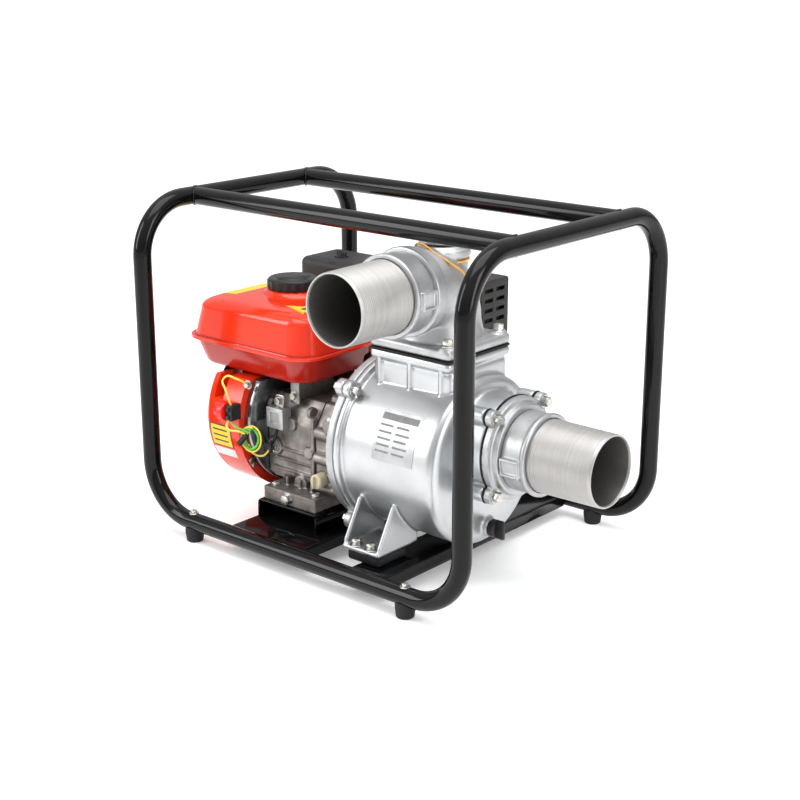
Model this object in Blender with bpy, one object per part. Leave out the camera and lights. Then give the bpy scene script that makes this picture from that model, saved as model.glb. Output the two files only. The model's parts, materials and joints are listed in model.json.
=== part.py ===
"""Portable engine-driven water pump in a tubular roll frame.

Run with: blender --background --python part.py
Units are metres, +Z up.  Everything hangs on the empty "pump_set", which puts the middle of the
whole object's floor box at the world origin.  Under it, X runs from the recoil starter (-) to the
suction tail (+), -Y is the discharge side, and Z is height above the ground.
"""

import math

import bmesh
import bpy
from mathutils import Matrix, Vector

MM = 0.001
GAP = 0.3 * MM  # between pieces that touch

# ---- driving dimensions ------------------------------------------------------------------------
TUBE_R = 13.45 * MM
TUBE_WALL = 2.0 * MM
FRAME_X = 300 * MM  # tube centre lines
FRAME_Y = 225 * MM
RAIL_Z = 30 * MM
TOP_Z = 500 * MM
TUBE_BEND = 80 * MM
TUBE_SIDES = 12
RAIL_SEAM_X = -94 * MM
TOP_BAR_Y = 120 * MM
FOOT_X = (-210 * MM, 205 * MM)
FOOT_TOP_Z = 23 * MM
FOOT_R = 14.3 * MM
FOOT_HOLE_R = 4.4 * MM

PLATE_TOP_Z = 37 * MM
CHANNEL_TOP_Z = 36 * MM
RISER_TOP_Z = 67 * MM
SHEET = 3 * MM

CRANK_Y = -50 * MM
CRANK_Z = 174 * MM
CYLINDER_TILT = math.radians(25)  # of the cylinder's axis above the floor
CYLINDER_X = -103 * MM
BORE_R = 34 * MM
STROKE = 54 * MM
DECK = 150 * MM  # crank axis to the top of the cylinder
BLOCK_X = (-152 * MM, -55.3 * MM)
COVER_X = (-55 * MM, -5 * MM)
CASE_WALL = 5 * MM
CASE_TOP = 44 * MM  # above the crank axis
FILLER = (-38 * MM, -72 * MM, -64 * MM)  # of the oil, about the crank axis
SWITCH = (-183 * MM, -131 * MM, 25 * MM)  # about the crank axis
DRAIN = (0, 3 * MM, -98 * MM)  # about the crank axis
JOURNAL_R = 15.6 * MM
FLYWHEEL_R = 62 * MM

FAN_X = (-240 * MM, -166 * MM)
FAN_R = 118 * MM
FAN_TOP = 68 * MM  # flat top, above the crank axis
BRACKET_SEAT = 34 * MM  # floor of the groove that the tank bracket stands in
FAN_SHEET = 1.6 * MM
RECOIL_X = (-268 * MM, -240.3 * MM)
RECOIL_R = 70 * MM
ROPE_R = 33 * MM  # where the rope winds on its pulley
ROPE_TILT = math.radians(15)

TANK_X = (-313 * MM, -50 * MM)
TANK_Y = (-148 * MM, 40 * MM)
TANK_CORNER = 42 * MM
TANK_FLOOR_Z = 246 * MM
TANK_SEAM_Z = 288 * MM
TANK_TOP_Z = 353 * MM
TANK_SHEET = 2.5 * MM
TANK_CAP = (-184 * MM, -30 * MM)

AIR_X = (-250 * MM, -125 * MM)
AIR_Y = (48 * MM, 140 * MM)
AIR_Z = (312 * MM, 335 * MM, 388 * MM)  # base, seam and top
AIR_STUD = (-188 * MM, 84 * MM)
MUFFLER_X = (-75 * MM, 80 * MM)
MUFFLER_Y = (58 * MM, 150 * MM)
MUFFLER_Z = (300 * MM, 380 * MM)

CASING_X = (28.8 * MM, 206 * MM)
CASING_R = 122 * MM
CASING_WALL = 8 * MM
FLANGE_R = 126 * MM
FLANGE_LOBES = ((45, 130 * MM), (135, 130 * MM), (-55, 135 * MM), (-125, 135 * MM))
NECK_X = (47 * MM, 190 * MM)
NECK_Y = (-117 * MM, 22 * MM)
NECK_TOP_Z = 324 * MM
IMPELLER_R = 72 * MM
IMPELLER_X = (58 * MM, 86 * MM)
SHAFT_END_X = 92 * MM

SUCTION_Z = 205 * MM
SUCTION_FACE_X = 247 * MM
SUCTION_HUB_X = 270 * MM  # face that the suction nut screws up to
PORT_R = 48 * MM
OUTLET_X = 118 * MM
OUTLET_Z = 414.5 * MM
OUTLET_HUB_Y = -126.5 * MM
PORT_CENTRE = (119 * MM, -46 * MM)
NUT_R = 57 * MM
NUT_LENGTH = 38 * MM
NOZZLE_LENGTH = 20 * MM
TAIL_END = 138 * MM  # hub face to the mouth of the hose tail
TAIL_ROOT_R = 51 * MM
TAIL_MOUTH_R = 50 * MM
TAIL_WALL = 3 * MM

# ---- scene and materials -----------------------------------------------------------------------
for old in list(bpy.data.objects):
    bpy.data.objects.remove(old)


def material(name, colour, roughness, metallic):
    made = bpy.data.materials.new(name)
    made.use_nodes = True
    shader = made.node_tree.nodes["Principled BSDF"]
    shader.inputs["Base Color"].default_value = (*colour, 1)
    shader.inputs["Roughness"].default_value = roughness
    shader.inputs["Metallic"].default_value = metallic
    made.diffuse_color = (*colour, 1)
    return made


BLACK_PAINT = material("frame_black", (0.012, 0.012, 0.014), 0.22, 0.0)
RUBBER = material("rubber", (0.02, 0.02, 0.02), 0.75, 0.0)
RED_PAINT = material("engine_red", (0.72, 0.045, 0.012), 0.25, 0.0)
CAST = material("cast_aluminium", (0.66, 0.67, 0.68), 0.42, 0.9)
ENGINE_CAST = material("engine_casting", (0.36, 0.34, 0.32), 0.5, 0.85)
SHEET_GREY = material("grey_sheet", (0.3, 0.31, 0.32), 0.35, 0.6)
ZINC = material("zinc_steel", (0.68, 0.68, 0.64), 0.3, 1.0)
STEEL = material("machined_steel", (0.5, 0.5, 0.5), 0.35, 1.0)
IRON = material("cast_iron", (0.16, 0.16, 0.16), 0.6, 0.7)
BLACK_PLASTIC = material("black_plastic", (0.02, 0.02, 0.022), 0.45, 0.0)
RED_PLASTIC = material("red_plastic", (0.8, 0.03, 0.02), 0.35, 0.0)
CREAM_PLASTIC = material("cream_plastic", (0.62, 0.56, 0.4), 0.5, 0.0)
BLACK_METAL = material("heat_black", (0.03, 0.03, 0.03), 0.6, 0.3)
FOAM = material("filter_foam", (0.2, 0.2, 0.18), 0.95, 0.0)
CERAMIC = material("ceramic", (0.85, 0.84, 0.8), 0.3, 0.0)


def empty(name, at, parent=None):
    made = bpy.data.objects.new(name, None)
    made.location = at
    made.parent = parent
    bpy.context.scene.collection.objects.link(made)
    return made


TUBE_OUT_X = FRAME_X + TUBE_R
FOOT_OUT_Y = FRAME_Y + FOOT_R
SUCTION_MOUTH_X = SUCTION_HUB_X + TAIL_END
OUTLET_MOUTH_Y = OUTLET_HUB_Y - TAIL_END
PUMP_SET = empty(
    "pump_set",
    ((TUBE_OUT_X - SUCTION_MOUTH_X) / 2, -(FOOT_OUT_Y + OUTLET_MOUTH_Y) / 2, 0),
)
CRANK = empty("crank_axis", (0, CRANK_Y, CRANK_Z), PUMP_SET)


# ---- shapes: each returns a closed bmesh ---------------------------------------------------------
def closed(bm):
    bmesh.ops.recalc_face_normals(bm, faces=bm.faces)
    return bm


def moved(bm, matrix):
    bmesh.ops.transform(bm, matrix=matrix, verts=bm.verts)
    return bm


def block(x, y, z, bevel=0.0, segments=1):
    """Box between the (low, high) pairs x, y and z, with its edges rounded."""
    bm = bmesh.new()
    bmesh.ops.create_cube(bm, size=1)
    size = Vector((x[1] - x[0], y[1] - y[0], z[1] - z[0]))
    middle = Vector((sum(x), sum(y), sum(z))) / 2
    moved(bm, Matrix.Translation(middle) @ Matrix.Diagonal((*size, 1)))
    if bevel:
        bmesh.ops.bevel(bm, geom=bm.edges[:], offset=bevel, segments=segments, profile=0.5, affect="EDGES")
    return closed(bm)


def turned(profile, axis="Z", steps=32, at=(0, 0, 0)):
    """Turns (distance along, radius) points about axis.  A profile that starts and ends on the axis
    is a solid; any other is closed back on itself into a ring."""
    bm = bmesh.new()
    rows = []
    for along, radius in profile:
        turns = range(steps) if radius > 0 else range(1)
        ring = [2 * math.pi * i / steps for i in turns]
        rows.append([bm.verts.new((radius * math.cos(a), radius * math.sin(a), along)) for a in ring])
    solid = profile[0][1] == 0
    pairs = list(zip(rows, rows[1:])) + ([] if solid else [(rows[-1], rows[0])])
    for low, high in pairs:
        for i in range(steps):
            j = (i + 1) % steps
            face = [low[i % len(low)], low[j % len(low)], high[j % len(high)], high[i % len(high)]]
            bm.faces.new(list(dict.fromkeys(face)))
    turn = {"X": Matrix.Rotation(math.pi / 2, 4, "Y"), "Y": Matrix.Rotation(-math.pi / 2, 4, "X")}
    return closed(moved(bm, Matrix.Translation(at) @ turn.get(axis, Matrix.Identity(4))))


def rod(start, end, radius, axis="Z", steps=24, at=(0, 0, 0)):
    return turned([(start, 0), (start, radius), (end, radius), (end, 0)], axis, steps, at)


def prism(outline, low, high, axis="Z"):
    """Extrudes a flat outline.  Axis Z takes (x, y) points, axis X (y, z) and axis Y (x, z)."""
    place = {
        "Z": lambda p, t: (p[0], p[1], t),
        "X": lambda p, t: (t, p[0], p[1]),
        "Y": lambda p, t: (p[0], t, p[1]),
    }[axis]
    bm = bmesh.new()
    floor = [bm.verts.new(place(p, low)) for p in outline]
    roof = [bm.verts.new(place(p, high)) for p in outline]
    bm.faces.new(floor)
    bm.faces.new(roof)
    for i in range(len(outline)):
        j = (i + 1) % len(outline)
        bm.faces.new((floor[i], floor[j], roof[j], roof[i]))
    return closed(bm)


def loft(sections):
    """Skins closed outlines of equal point count, each a list of 3-D points, and caps the ends."""
    bm = bmesh.new()
    rings = [[bm.verts.new(p) for p in section] for section in sections]
    for low, high in zip(rings, rings[1:]):
        for i in range(len(low)):
            j = (i + 1) % len(low)
            bm.faces.new((low[i], low[j], high[j], high[i]))
    bm.faces.new(rings[0])
    bm.faces.new(rings[-1])
    return closed(bm)


def rounded_outline(x, y, radius, steps=4):
    """Rectangle between the pairs x and y with round corners."""
    points = []
    corners = ((x[1], y[1], 0), (x[0], y[1], 90), (x[0], y[0], 180), (x[1], y[0], 270))
    for cx, cy, start in corners:
        px = cx - math.copysign(radius, cx - sum(x) / 2)
        py = cy - math.copysign(radius, cy - sum(y) / 2)
        for i in range(steps + 1):
            a = math.radians(start + 90 * i / steps)
            points.append((px + radius * math.cos(a), py + radius * math.sin(a)))
    return points


def u_section(x, z, wall, radius, steps=3):
    """Outline of a channel with its open side down: (x, z) points."""
    low, high = z
    outer = [(x[0], low)]
    for side, start in ((0, 180), (1, 90)):
        cx = x[side] + (radius if side == 0 else -radius)
        for i in range(steps + 1):
            a = math.radians(start - 90 * i / steps)
            outer.append((cx + radius * math.cos(a), high - radius + radius * math.sin(a)))
    outer.append((x[1], low))
    inner = [(x[1] - wall, low), (x[1] - wall, high - wall), (x[0] + wall, high - wall), (x[0] + wall, low)]
    return outer + inner


def rounded_path(corners, radius, steps):
    """Points along a polyline whose inner corners are arcs of that radius."""
    path = [Vector(corners[0])]
    for before, corner, after in zip(corners, corners[1:], corners[2:]):
        corner = Vector(corner)
        back = (Vector(before) - corner).normalized()
        ahead = (Vector(after) - corner).normalized()
        centre = corner + (back + ahead) * radius
        for i in range(steps + 1):
            a = math.pi / 2 * i / steps
            path.append(centre - radius * (math.cos(a) * ahead + math.sin(a) * back))
    return path + [Vector(corners[-1])]


def pipe(path, outer, inner, sides):
    """Sweeps a round tube along path.  With inner 0 the bar is solid."""
    bm = bmesh.new()
    forward = (path[1] - path[0]).normalized()
    level = Vector((1, 0, 0)) if abs(forward.z) > 0.9 else Vector((0, 0, 1))
    across = forward.cross(level).normalized()
    rings = []
    for i, point in enumerate(path):
        ahead = path[min(i + 1, len(path) - 1)] - path[max(i - 1, 0)]
        ahead.normalize()
        across = forward.rotation_difference(ahead) @ across
        forward = ahead
        up = forward.cross(across)
        angles = [2 * math.pi * k / sides for k in range(sides)]
        rings.append(
            [
                [bm.verts.new(point + r * (across * math.cos(a) + up * math.sin(a))) for a in angles]
                for r in ((outer, inner) if inner else (outer,))
            ]
        )
    for low, high in zip(rings, rings[1:]):
        for skin_low, skin_high in zip(low, high):
            for k in range(sides):
                j = (k + 1) % sides
                bm.faces.new((skin_low[k], skin_low[j], skin_high[j], skin_high[k]))
    for end in (rings[0], rings[-1]):
        if inner:
            for k in range(sides):
                j = (k + 1) % sides
                bm.faces.new((end[0][k], end[0][j], end[1][j], end[1][k]))
        else:
            bm.faces.new(end[0])
    return closed(bm)


def gathered(parts):
    """One bmesh of several shapes that don't touch."""
    whole = bmesh.new()
    for part in parts:
        mesh = bpy.data.meshes.new("part")
        part.to_mesh(mesh)
        part.free()
        whole.from_mesh(mesh)
        bpy.data.meshes.remove(mesh)
    return whole


def boolean(base, operation, tools):
    """The base bmesh after joining with, or cutting by, each tool bmesh."""
    for tool in tools:
        pair = []
        for bm in (base, tool):
            mesh = bpy.data.meshes.new("shape")
            bm.to_mesh(mesh)
            bm.free()
            pair.append(bpy.data.objects.new("shape", mesh))
            bpy.context.scene.collection.objects.link(pair[-1])
        modifier = pair[0].modifiers.new("boolean", "BOOLEAN")
        modifier.operation = operation
        modifier.object = pair[1]
        evaluated = pair[0].evaluated_get(bpy.context.evaluated_depsgraph_get())
        base = bmesh.new()
        base.from_mesh(evaluated.to_mesh())
        evaluated.to_mesh_clear()
        for made in pair:
            mesh = made.data
            bpy.data.objects.remove(made)
            bpy.data.meshes.remove(mesh)
    return base


def joined(base, *tools):
    return boolean(base, "UNION", tools)


def cut(base, *tools):
    return boolean(base, "DIFFERENCE", tools)


def add(name, bm, finish, at=(0, 0, 0), parent=PUMP_SET, turn=(0, 0, 0)):
    """Puts the shape in the scene as one sub-part, with its origin at the point at."""
    mesh = bpy.data.meshes.new(name)
    bm.to_mesh(mesh)
    bm.free()
    mesh.materials.append(finish)
    mesh.shade_smooth()
    mesh.set_sharp_from_angle(angle=math.radians(35))
    made = bpy.data.objects.new(name, mesh)
    made.location = at
    made.rotation_euler = turn
    made.parent = parent
    bpy.context.scene.collection.objects.link(made)
    return made


def hexagon(start, end, across_flats, axis, at=(0, 0, 0)):
    return rod(start, end, across_flats / 2 / math.cos(math.pi / 6), axis, 6, at)


FRONT_AND_REAR = (("front", -1), ("rear", 1))


# ---- frame ---------------------------------------------------------------------------------------
def rail_spigot(y):
    """Pipe pressed into the left tube's end, that the right tube slides over."""
    ends = [Vector((RAIL_SEAM_X + x, y, RAIL_Z)) for x in (-30 * MM, 40 * MM)]
    spigot = pipe(ends, TUBE_R - TUBE_WALL - GAP, TUBE_R - 2 * TUBE_WALL, TUBE_SIDES)
    collar = pipe(
        [ends[0], ends[0] + Vector((20 * MM, 0, 0))],
        TUBE_R - 0.5 * TUBE_WALL,
        TUBE_R - 1.5 * TUBE_WALL,
        TUBE_SIDES,
    )
    return joined(spigot, collar)


def frame():
    for name, side, foot_x in (("left", -1, FOOT_X[0]), ("right", 1, FOOT_X[1])):
        seam = RAIL_SEAM_X + side * GAP / 2
        x = side * FRAME_X
        corners = [
            (seam, -FRAME_Y, RAIL_Z),
            (x, -FRAME_Y, RAIL_Z),
            (x, -FRAME_Y, TOP_Z),
            (x, FRAME_Y, TOP_Z),
            (x, FRAME_Y, RAIL_Z),
            (seam, FRAME_Y, RAIL_Z),
        ]
        tube = pipe(rounded_path(corners, TUBE_BEND, 4), TUBE_R, TUBE_R - TUBE_WALL, TUBE_SIDES)
        if side < 0:
            tube = joined(tube, *[rail_spigot(s * FRAME_Y) for s in (-1, 1)])
        low, high = RAIL_Z - 2 * TUBE_R, RAIL_Z + 2 * TUBE_R
        holes = [rod(low, high, FOOT_HOLE_R, "Z", 10, (foot_x, s * FRAME_Y, 0)) for s in (-1, 1)]
        add(f"frame_{name}_tube", cut(tube, gathered(holes)), BLACK_PAINT)

    for end, s in FRONT_AND_REAR:
        bar = pipe(
            [Vector((-FRAME_X, 0, 0)), Vector((FRAME_X, 0, 0))], TUBE_R, TUBE_R - TUBE_WALL, TUBE_SIDES
        )
        saddles = [
            rod(-2 * TUBE_R, 2 * TUBE_R, TUBE_R + GAP, "Y", 20, (x, 0, 0)) for x in (-FRAME_X, FRAME_X)
        ]
        add(f"top_bar_{end}", cut(bar, gathered(saddles)), BLACK_PAINT, (0, s * TOP_BAR_Y, TOP_Z))


def rubber_feet():
    profile = [
        (0, 0), (0, 10.5 * MM), (2 * MM, 11.5 * MM), (13 * MM, FOOT_R - 0.3 * MM), (FOOT_TOP_Z, FOOT_R)
    ]
    for end, s in FRONT_AND_REAR:
        for side, foot_x in zip(("left", "right"), FOOT_X):
            foot = turned([*profile, (FOOT_TOP_Z, 0)], "Z", 20)
            saddle = rod(-2 * TUBE_R, 2 * TUBE_R, TUBE_R + GAP, "X", 20, (0, 0, RAIL_Z))
            hole = rod(6 * MM, FOOT_TOP_Z + 2 * MM, FOOT_HOLE_R, "Z", 10)
            add(f"rubber_foot_{end}_{side}", cut(foot, saddle, hole), RUBBER, (foot_x, s * FRAME_Y, 0))


def cross_members():
    half_span = FRAME_Y - 8 * MM
    rows = (
        ("engine_plate", (-146 * MM, 3 * MM), (19 * MM, PLATE_TOP_Z)),
        ("pump_channel", (92 * MM, 156 * MM), (17 * MM, CHANNEL_TOP_Z)),
    )
    for name, x, z in rows:
        member = prism(u_section(x, z, SHEET, 4 * MM), -half_span, half_span, "Y")
        saddles = [rod(-FRAME_X, FRAME_X, TUBE_R + GAP, "X", 20, (0, s * FRAME_Y, RAIL_Z)) for s in (-1, 1)]
        add(name, cut(member, gathered(saddles)), BLACK_PAINT)
    section = u_section((-140 * MM, -20 * MM), (PLATE_TOP_Z + GAP, RISER_TOP_Z), SHEET, 8 * MM)
    add("engine_riser", prism(section, -160 * MM, 42 * MM, "Y"), BLACK_PAINT)


# ---- engine: everything here is about the crank axis ---------------------------------------------
# Takes +Z to the cylinder's axis.
CYLINDER_FRAME = Matrix.Translation((CYLINDER_X, 0, 0)) @ Matrix.Rotation(
    CYLINDER_TILT - math.pi / 2, 4, "X"
)
SPARK_PLUG_Y = -26 * MM
HEAD_TOP = DECK + 42 * MM
EXHAUST_PORT = (0, 20 * MM, DECK + 23 * MM)
INTAKE_PORT = (0, 12 * MM, DECK + 23 * MM)
PORT_LENGTH = 58 * MM


def on_cylinder(bm):
    return moved(bm, CYLINDER_FRAME)


def crankcase_outline(inset=0.0):
    """(y, z) points of the crankcase."""
    front, rear = -72 * MM + inset, 76 * MM - inset
    low, high = -87 * MM + inset, CASE_TOP - inset
    chamfer = 12 * MM
    return [
        (front + chamfer, low),
        (front, low + chamfer),
        (front, high - 3 * chamfer),
        (front + 2 * chamfer, high),
        (rear - chamfer, high),
        (rear, high - 2 * chamfer),
        (rear, low + chamfer),
        (rear - chamfer, low),
    ]


def crankcase():
    body = prism(crankcase_outline(), *BLOCK_X, "X")
    barrel = on_cylinder(block((-44 * MM, 44 * MM), (-44 * MM, 44 * MM), (40 * MM, DECK)))
    fins = []
    for i in range(5):
        z = DECK - (4 + 11 * i) * MM
        fins.append(on_cylinder(block((-48 * MM, 47 * MM), (-48 * MM, 52 * MM), (z - 3 * MM, z))))
    base_z = (RISER_TOP_Z - CRANK_Z + GAP, -86 * MM)
    base = block((-131 * MM, -26 * MM), (-105 * MM, 85 * MM), base_z)
    base_cut = block((-114 * MM, -43 * MM), (-80 * MM, 60 * MM), (base_z[0] - MM, base_z[0] + 8 * MM))
    inside = prism(crankcase_outline(CASE_WALL), BLOCK_X[0] + CASE_WALL, BLOCK_X[1] + MM, "X")
    bore = on_cylinder(rod(30 * MM, DECK + MM, BORE_R + GAP, "Z", 32))
    bearing = rod(BLOCK_X[0] - MM, BLOCK_X[0] + 2 * CASE_WALL, JOURNAL_R + GAP, "X", 24)
    add(
        "crankcase",
        cut(joined(body, barrel, *fins, base), inside, bore, bearing, base_cut),
        ENGINE_CAST,
        parent=CRANK,
    )


def crankcase_cover():
    body = prism(crankcase_outline(), *COVER_X, "X")
    inside = prism(crankcase_outline(CASE_WALL), COVER_X[0] - MM, COVER_X[1] - 2 * CASE_WALL, "X")
    bearing = rod(COVER_X[1] - 3 * CASE_WALL, COVER_X[1] + MM, JOURNAL_R + GAP, "X", 24)
    foot_step = block((-60 * MM, 0), (-110 * MM, 90 * MM), (-100 * MM, -86 * MM + GAP))
    filler = rod(-4 * MM, 12 * MM, 12.5 * MM, "Y", 20, FILLER)
    filler_hole = rod(-6 * MM, 30 * MM, 8.4 * MM, "Y", 16, FILLER)
    cover = cut(joined(body, filler), inside, bearing, foot_step, filler_hole)
    add("crankcase_cover", cover, ENGINE_CAST, parent=CRANK)


def oil_dipstick():
    cap = [
        (-20 * MM, 0), (-20 * MM, 9 * MM), (-18 * MM, 11 * MM), (-4.4 * MM, 11 * MM), (-4.4 * MM, 7.8 * MM)
    ]
    cap += [(12 * MM, 7.8 * MM), (12 * MM, 2.2 * MM), (34 * MM, 2.2 * MM), (34 * MM, 0)]
    grip = block((-1.6 * MM, 1.6 * MM), (-26 * MM, -16 * MM), (-9 * MM, 9 * MM), MM)
    add("oil_dipstick", joined(turned(cap, "Y", 20), grip), CREAM_PLASTIC, FILLER, CRANK)


def cylinder_head():
    base = on_cylinder(block((-46 * MM, 46 * MM), (-42 * MM, 46 * MM), (DECK + GAP, HEAD_TOP)))
    fins = []
    for i in range(4):
        z = DECK + (5 + 11 * i) * MM
        fins.append(on_cylinder(block((-50 * MM, 50 * MM), (-45 * MM, 52 * MM), (z, z + 3 * MM))))
    exhaust = on_cylinder(rod(40 * MM, PORT_LENGTH, 15 * MM, "X", 16, EXHAUST_PORT))
    intake = on_cylinder(rod(-PORT_LENGTH, -40 * MM, 15 * MM, "X", 16, INTAKE_PORT))
    chamber = on_cylinder(rod(DECK - MM, DECK + 9 * MM, 22 * MM, "Z", 24))
    plug_hole = on_cylinder(rod(DECK + 4 * MM, HEAD_TOP + MM, 7.4 * MM, "Z", 12, (0, SPARK_PLUG_Y, 0)))
    ports = [
        on_cylinder(rod(20 * MM, PORT_LENGTH + MM, 10 * MM, "X", 16, EXHAUST_PORT)),
        on_cylinder(rod(-PORT_LENGTH - MM, -20 * MM, 10 * MM, "X", 16, INTAKE_PORT)),
    ]
    head = cut(joined(base, *fins, exhaust, intake), chamber, plug_hole, *ports)
    add("cylinder_head", head, ENGINE_CAST, parent=CRANK)

    z = HEAD_TOP + GAP
    cover = on_cylinder(block((-44 * MM, 44 * MM), (-12 * MM, 46 * MM), (z, z + 24 * MM), 5 * MM))
    hollow = on_cylinder(block((-38 * MM, 38 * MM), (-6 * MM, 40 * MM), (z - MM, z + 20 * MM)))
    add("rocker_cover", cut(cover, hollow), SHEET_GREY, parent=CRANK)

    plug = [(4 * MM, 0), (4 * MM, 6.9 * MM), (46 * MM, 6.9 * MM), (46 * MM, 5 * MM), (66 * MM, 4 * MM)]
    plug = turned([*plug, (66 * MM, 2.8 * MM), (72 * MM, 2.8 * MM), (72 * MM, 0)], "Z", 12)
    nut = hexagon(42.5 * MM, 50 * MM, 20 * MM, "Z")
    place = Matrix.Translation((0, SPARK_PLUG_Y, DECK + 2 * MM))
    add("spark_plug", on_cylinder(moved(joined(plug, nut), place)), CERAMIC, parent=CRANK)


def piston():
    r = BORE_R - 0.1 * MM
    profile = [
        (123 * MM, 0),
        (123 * MM, r - 5 * MM),
        (80 * MM, r - 5 * MM),
        (80 * MM, r),
        (128 * MM, r),
        (128 * MM, 0),
    ]
    add("piston", on_cylinder(turned(profile, "Z", 32)), CAST, parent=CRANK)


def rotor():
    """What turns with the crankshaft: it, the flywheel with its fan, and the impeller."""
    web_r = 37 * MM
    pin_x = (CYLINDER_X - 12 * MM, CYLINDER_X + 12 * MM)
    web_width = 14 * MM
    pin_at = Vector((0, math.cos(CYLINDER_TILT), math.sin(CYLINDER_TILT))) * STROKE / 2
    left_end = -236 * MM
    left = [(left_end, 9.5 * MM), (-200 * MM, 11 * MM), (-170 * MM, 13 * MM), (-158 * MM, JOURNAL_R)]
    left = turned([(left_end, 0), *left, (pin_x[0] - 6 * MM, JOURNAL_R), (pin_x[0] - 6 * MM, 0)], "X", 24)
    right = [
        (pin_x[1] + 6 * MM, JOURNAL_R),
        (COVER_X[1] + 3 * MM, JOURNAL_R),
        (COVER_X[1] + 3 * MM, 12.5 * MM),
        (52 * MM, 12.5 * MM),
        (52 * MM, 9 * MM),
        (SHAFT_END_X, 9 * MM),
    ]
    right = turned([(right[0][0], 0), *right, (SHAFT_END_X, 0)], "X", 24)
    webs = [
        rod(pin_x[0] - web_width, pin_x[0], web_r, "X", 24),
        rod(pin_x[1], pin_x[1] + web_width, web_r, "X", 24),
    ]
    pin = rod(pin_x[0] - 4 * MM, pin_x[1] + 4 * MM, 9 * MM, "X", 20, pin_at)
    add("crankshaft", joined(left, webs[0], pin, webs[1], right), STEEL, parent=CRANK)

    bore = 12.6 * MM
    wheel = [
        (-229 * MM, bore),
        (-229 * MM, FLYWHEEL_R),
        (-226.6 * MM, FLYWHEEL_R),
        (-226.6 * MM, 26 * MM),
        (-202 * MM, 26 * MM),
        (-202 * MM, FLYWHEEL_R),
        (-172 * MM, FLYWHEEL_R),
        (-172 * MM, FLYWHEEL_R - 10 * MM),
        (-194 * MM, FLYWHEEL_R - 12 * MM),
        (-194 * MM, 24 * MM),
        (-178 * MM, 22 * MM),
        (-178 * MM, 13.6 * MM),
    ]
    blades = []
    for i in range(8):
        blade = block((-237 * MM, -228 * MM), (-1.2 * MM, 1.2 * MM), (30 * MM, FLYWHEEL_R + MM))
        blades.append(moved(blade, Matrix.Rotation(2 * math.pi * i / 8, 4, "X")))
    add("flywheel", joined(turned(wheel, "X", 28), gathered(blades)), IRON, parent=CRANK)

    x0, x1 = IMPELLER_X
    hub = [
        (x0, 9.3 * MM), (x0, IMPELLER_R), (x0 + 4 * MM, IMPELLER_R), (x0 + 6 * MM, 18 * MM), (x1, 14 * MM)
    ]
    vanes = []
    vane_sweep = math.radians(50)
    for i in range(5):
        outline = []
        for side, order in ((1, range(5)), (-1, range(4, -1, -1))):
            for k in order:
                r = 16 * MM + (IMPELLER_R - 17 * MM) * k / 4
                a = 2 * math.pi * i / 5 + vane_sweep * k / 4 + side * 2.2 * MM / r
                outline.append((r * math.cos(a), r * math.sin(a)))
        vanes.append(prism(outline, x0 + 2 * MM, x1 - 3 * MM, "X"))
    add("impeller", joined(turned([*hub, (x1, 9.3 * MM)], "X", 36), *vanes), CAST, parent=CRANK)


def flat_topped(radius, top, steps=36):
    """Circle whose part above top is cut off level: (y, z) points."""
    start = math.asin(top / radius)
    sweep = math.pi + 2 * start
    turns = [math.pi - start + sweep * i / steps for i in range(steps + 1)]
    return [(radius * math.cos(a), radius * math.sin(a)) for a in turns]


def fan_cover():
    steps = 36
    rounding = 5 * MM
    sections = []
    for x, inset in (
        (FAN_X[1], 0),
        (FAN_X[0] + rounding, 0),
        (FAN_X[0] + 0.3 * rounding, 0.3 * rounding),
        (FAN_X[0], rounding),
    ):
        sections.append([(x, *p) for p in flat_topped(FAN_R - inset, FAN_TOP - inset, steps)])
    groove = block((-224.5 * MM, -204.5 * MM), (-2 * FAN_R, 2 * FAN_R), (BRACKET_SEAT, 2 * FAN_R))
    outside = cut(loft(sections), groove)
    s = FAN_SHEET
    hollow = prism(flat_topped(FAN_R - s, FAN_TOP - s, steps), FAN_X[0] + s, FAN_X[1] + MM, "X")
    groove_inside = block(
        (-224.5 * MM - s, -204.5 * MM + s), (-2 * FAN_R, 2 * FAN_R), (BRACKET_SEAT - s, 2 * FAN_R)
    )
    inlet = rod(FAN_X[0] - MM, FAN_X[0] + 3 * s, RECOIL_R - 7 * MM, "X", 28)
    add("fan_cover", cut(outside, cut(hollow, groove_inside), inlet), RED_PAINT, parent=CRANK)

    x0, x1 = FAN_X[1] + GAP, BLOCK_X[0] - GAP
    shroud = prism(flat_topped(108 * MM, FAN_TOP - 2 * MM, steps), x0, x1, "X")
    hollow = prism(flat_topped(106 * MM, FAN_TOP - 4 * MM, steps), x0 - MM, x1 - 2 * MM, "X")
    add("blower_shroud", cut(shroud, hollow, rod(x0, x1 + MM, 28 * MM, "X", 24)), SHEET_GREY, parent=CRANK)


# Takes +Z to the way the starter rope pulls, from where the rope leaves its pulley.
ROPE_FRAME = Matrix.Translation((-253 * MM, ROPE_R * math.sin(ROPE_TILT), -ROPE_R * math.cos(ROPE_TILT)))
ROPE_FRAME = ROPE_FRAME @ Matrix.Rotation(ROPE_TILT - math.pi / 2, 4, "X")
ROPE_HOLE_R = 3 * MM


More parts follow.
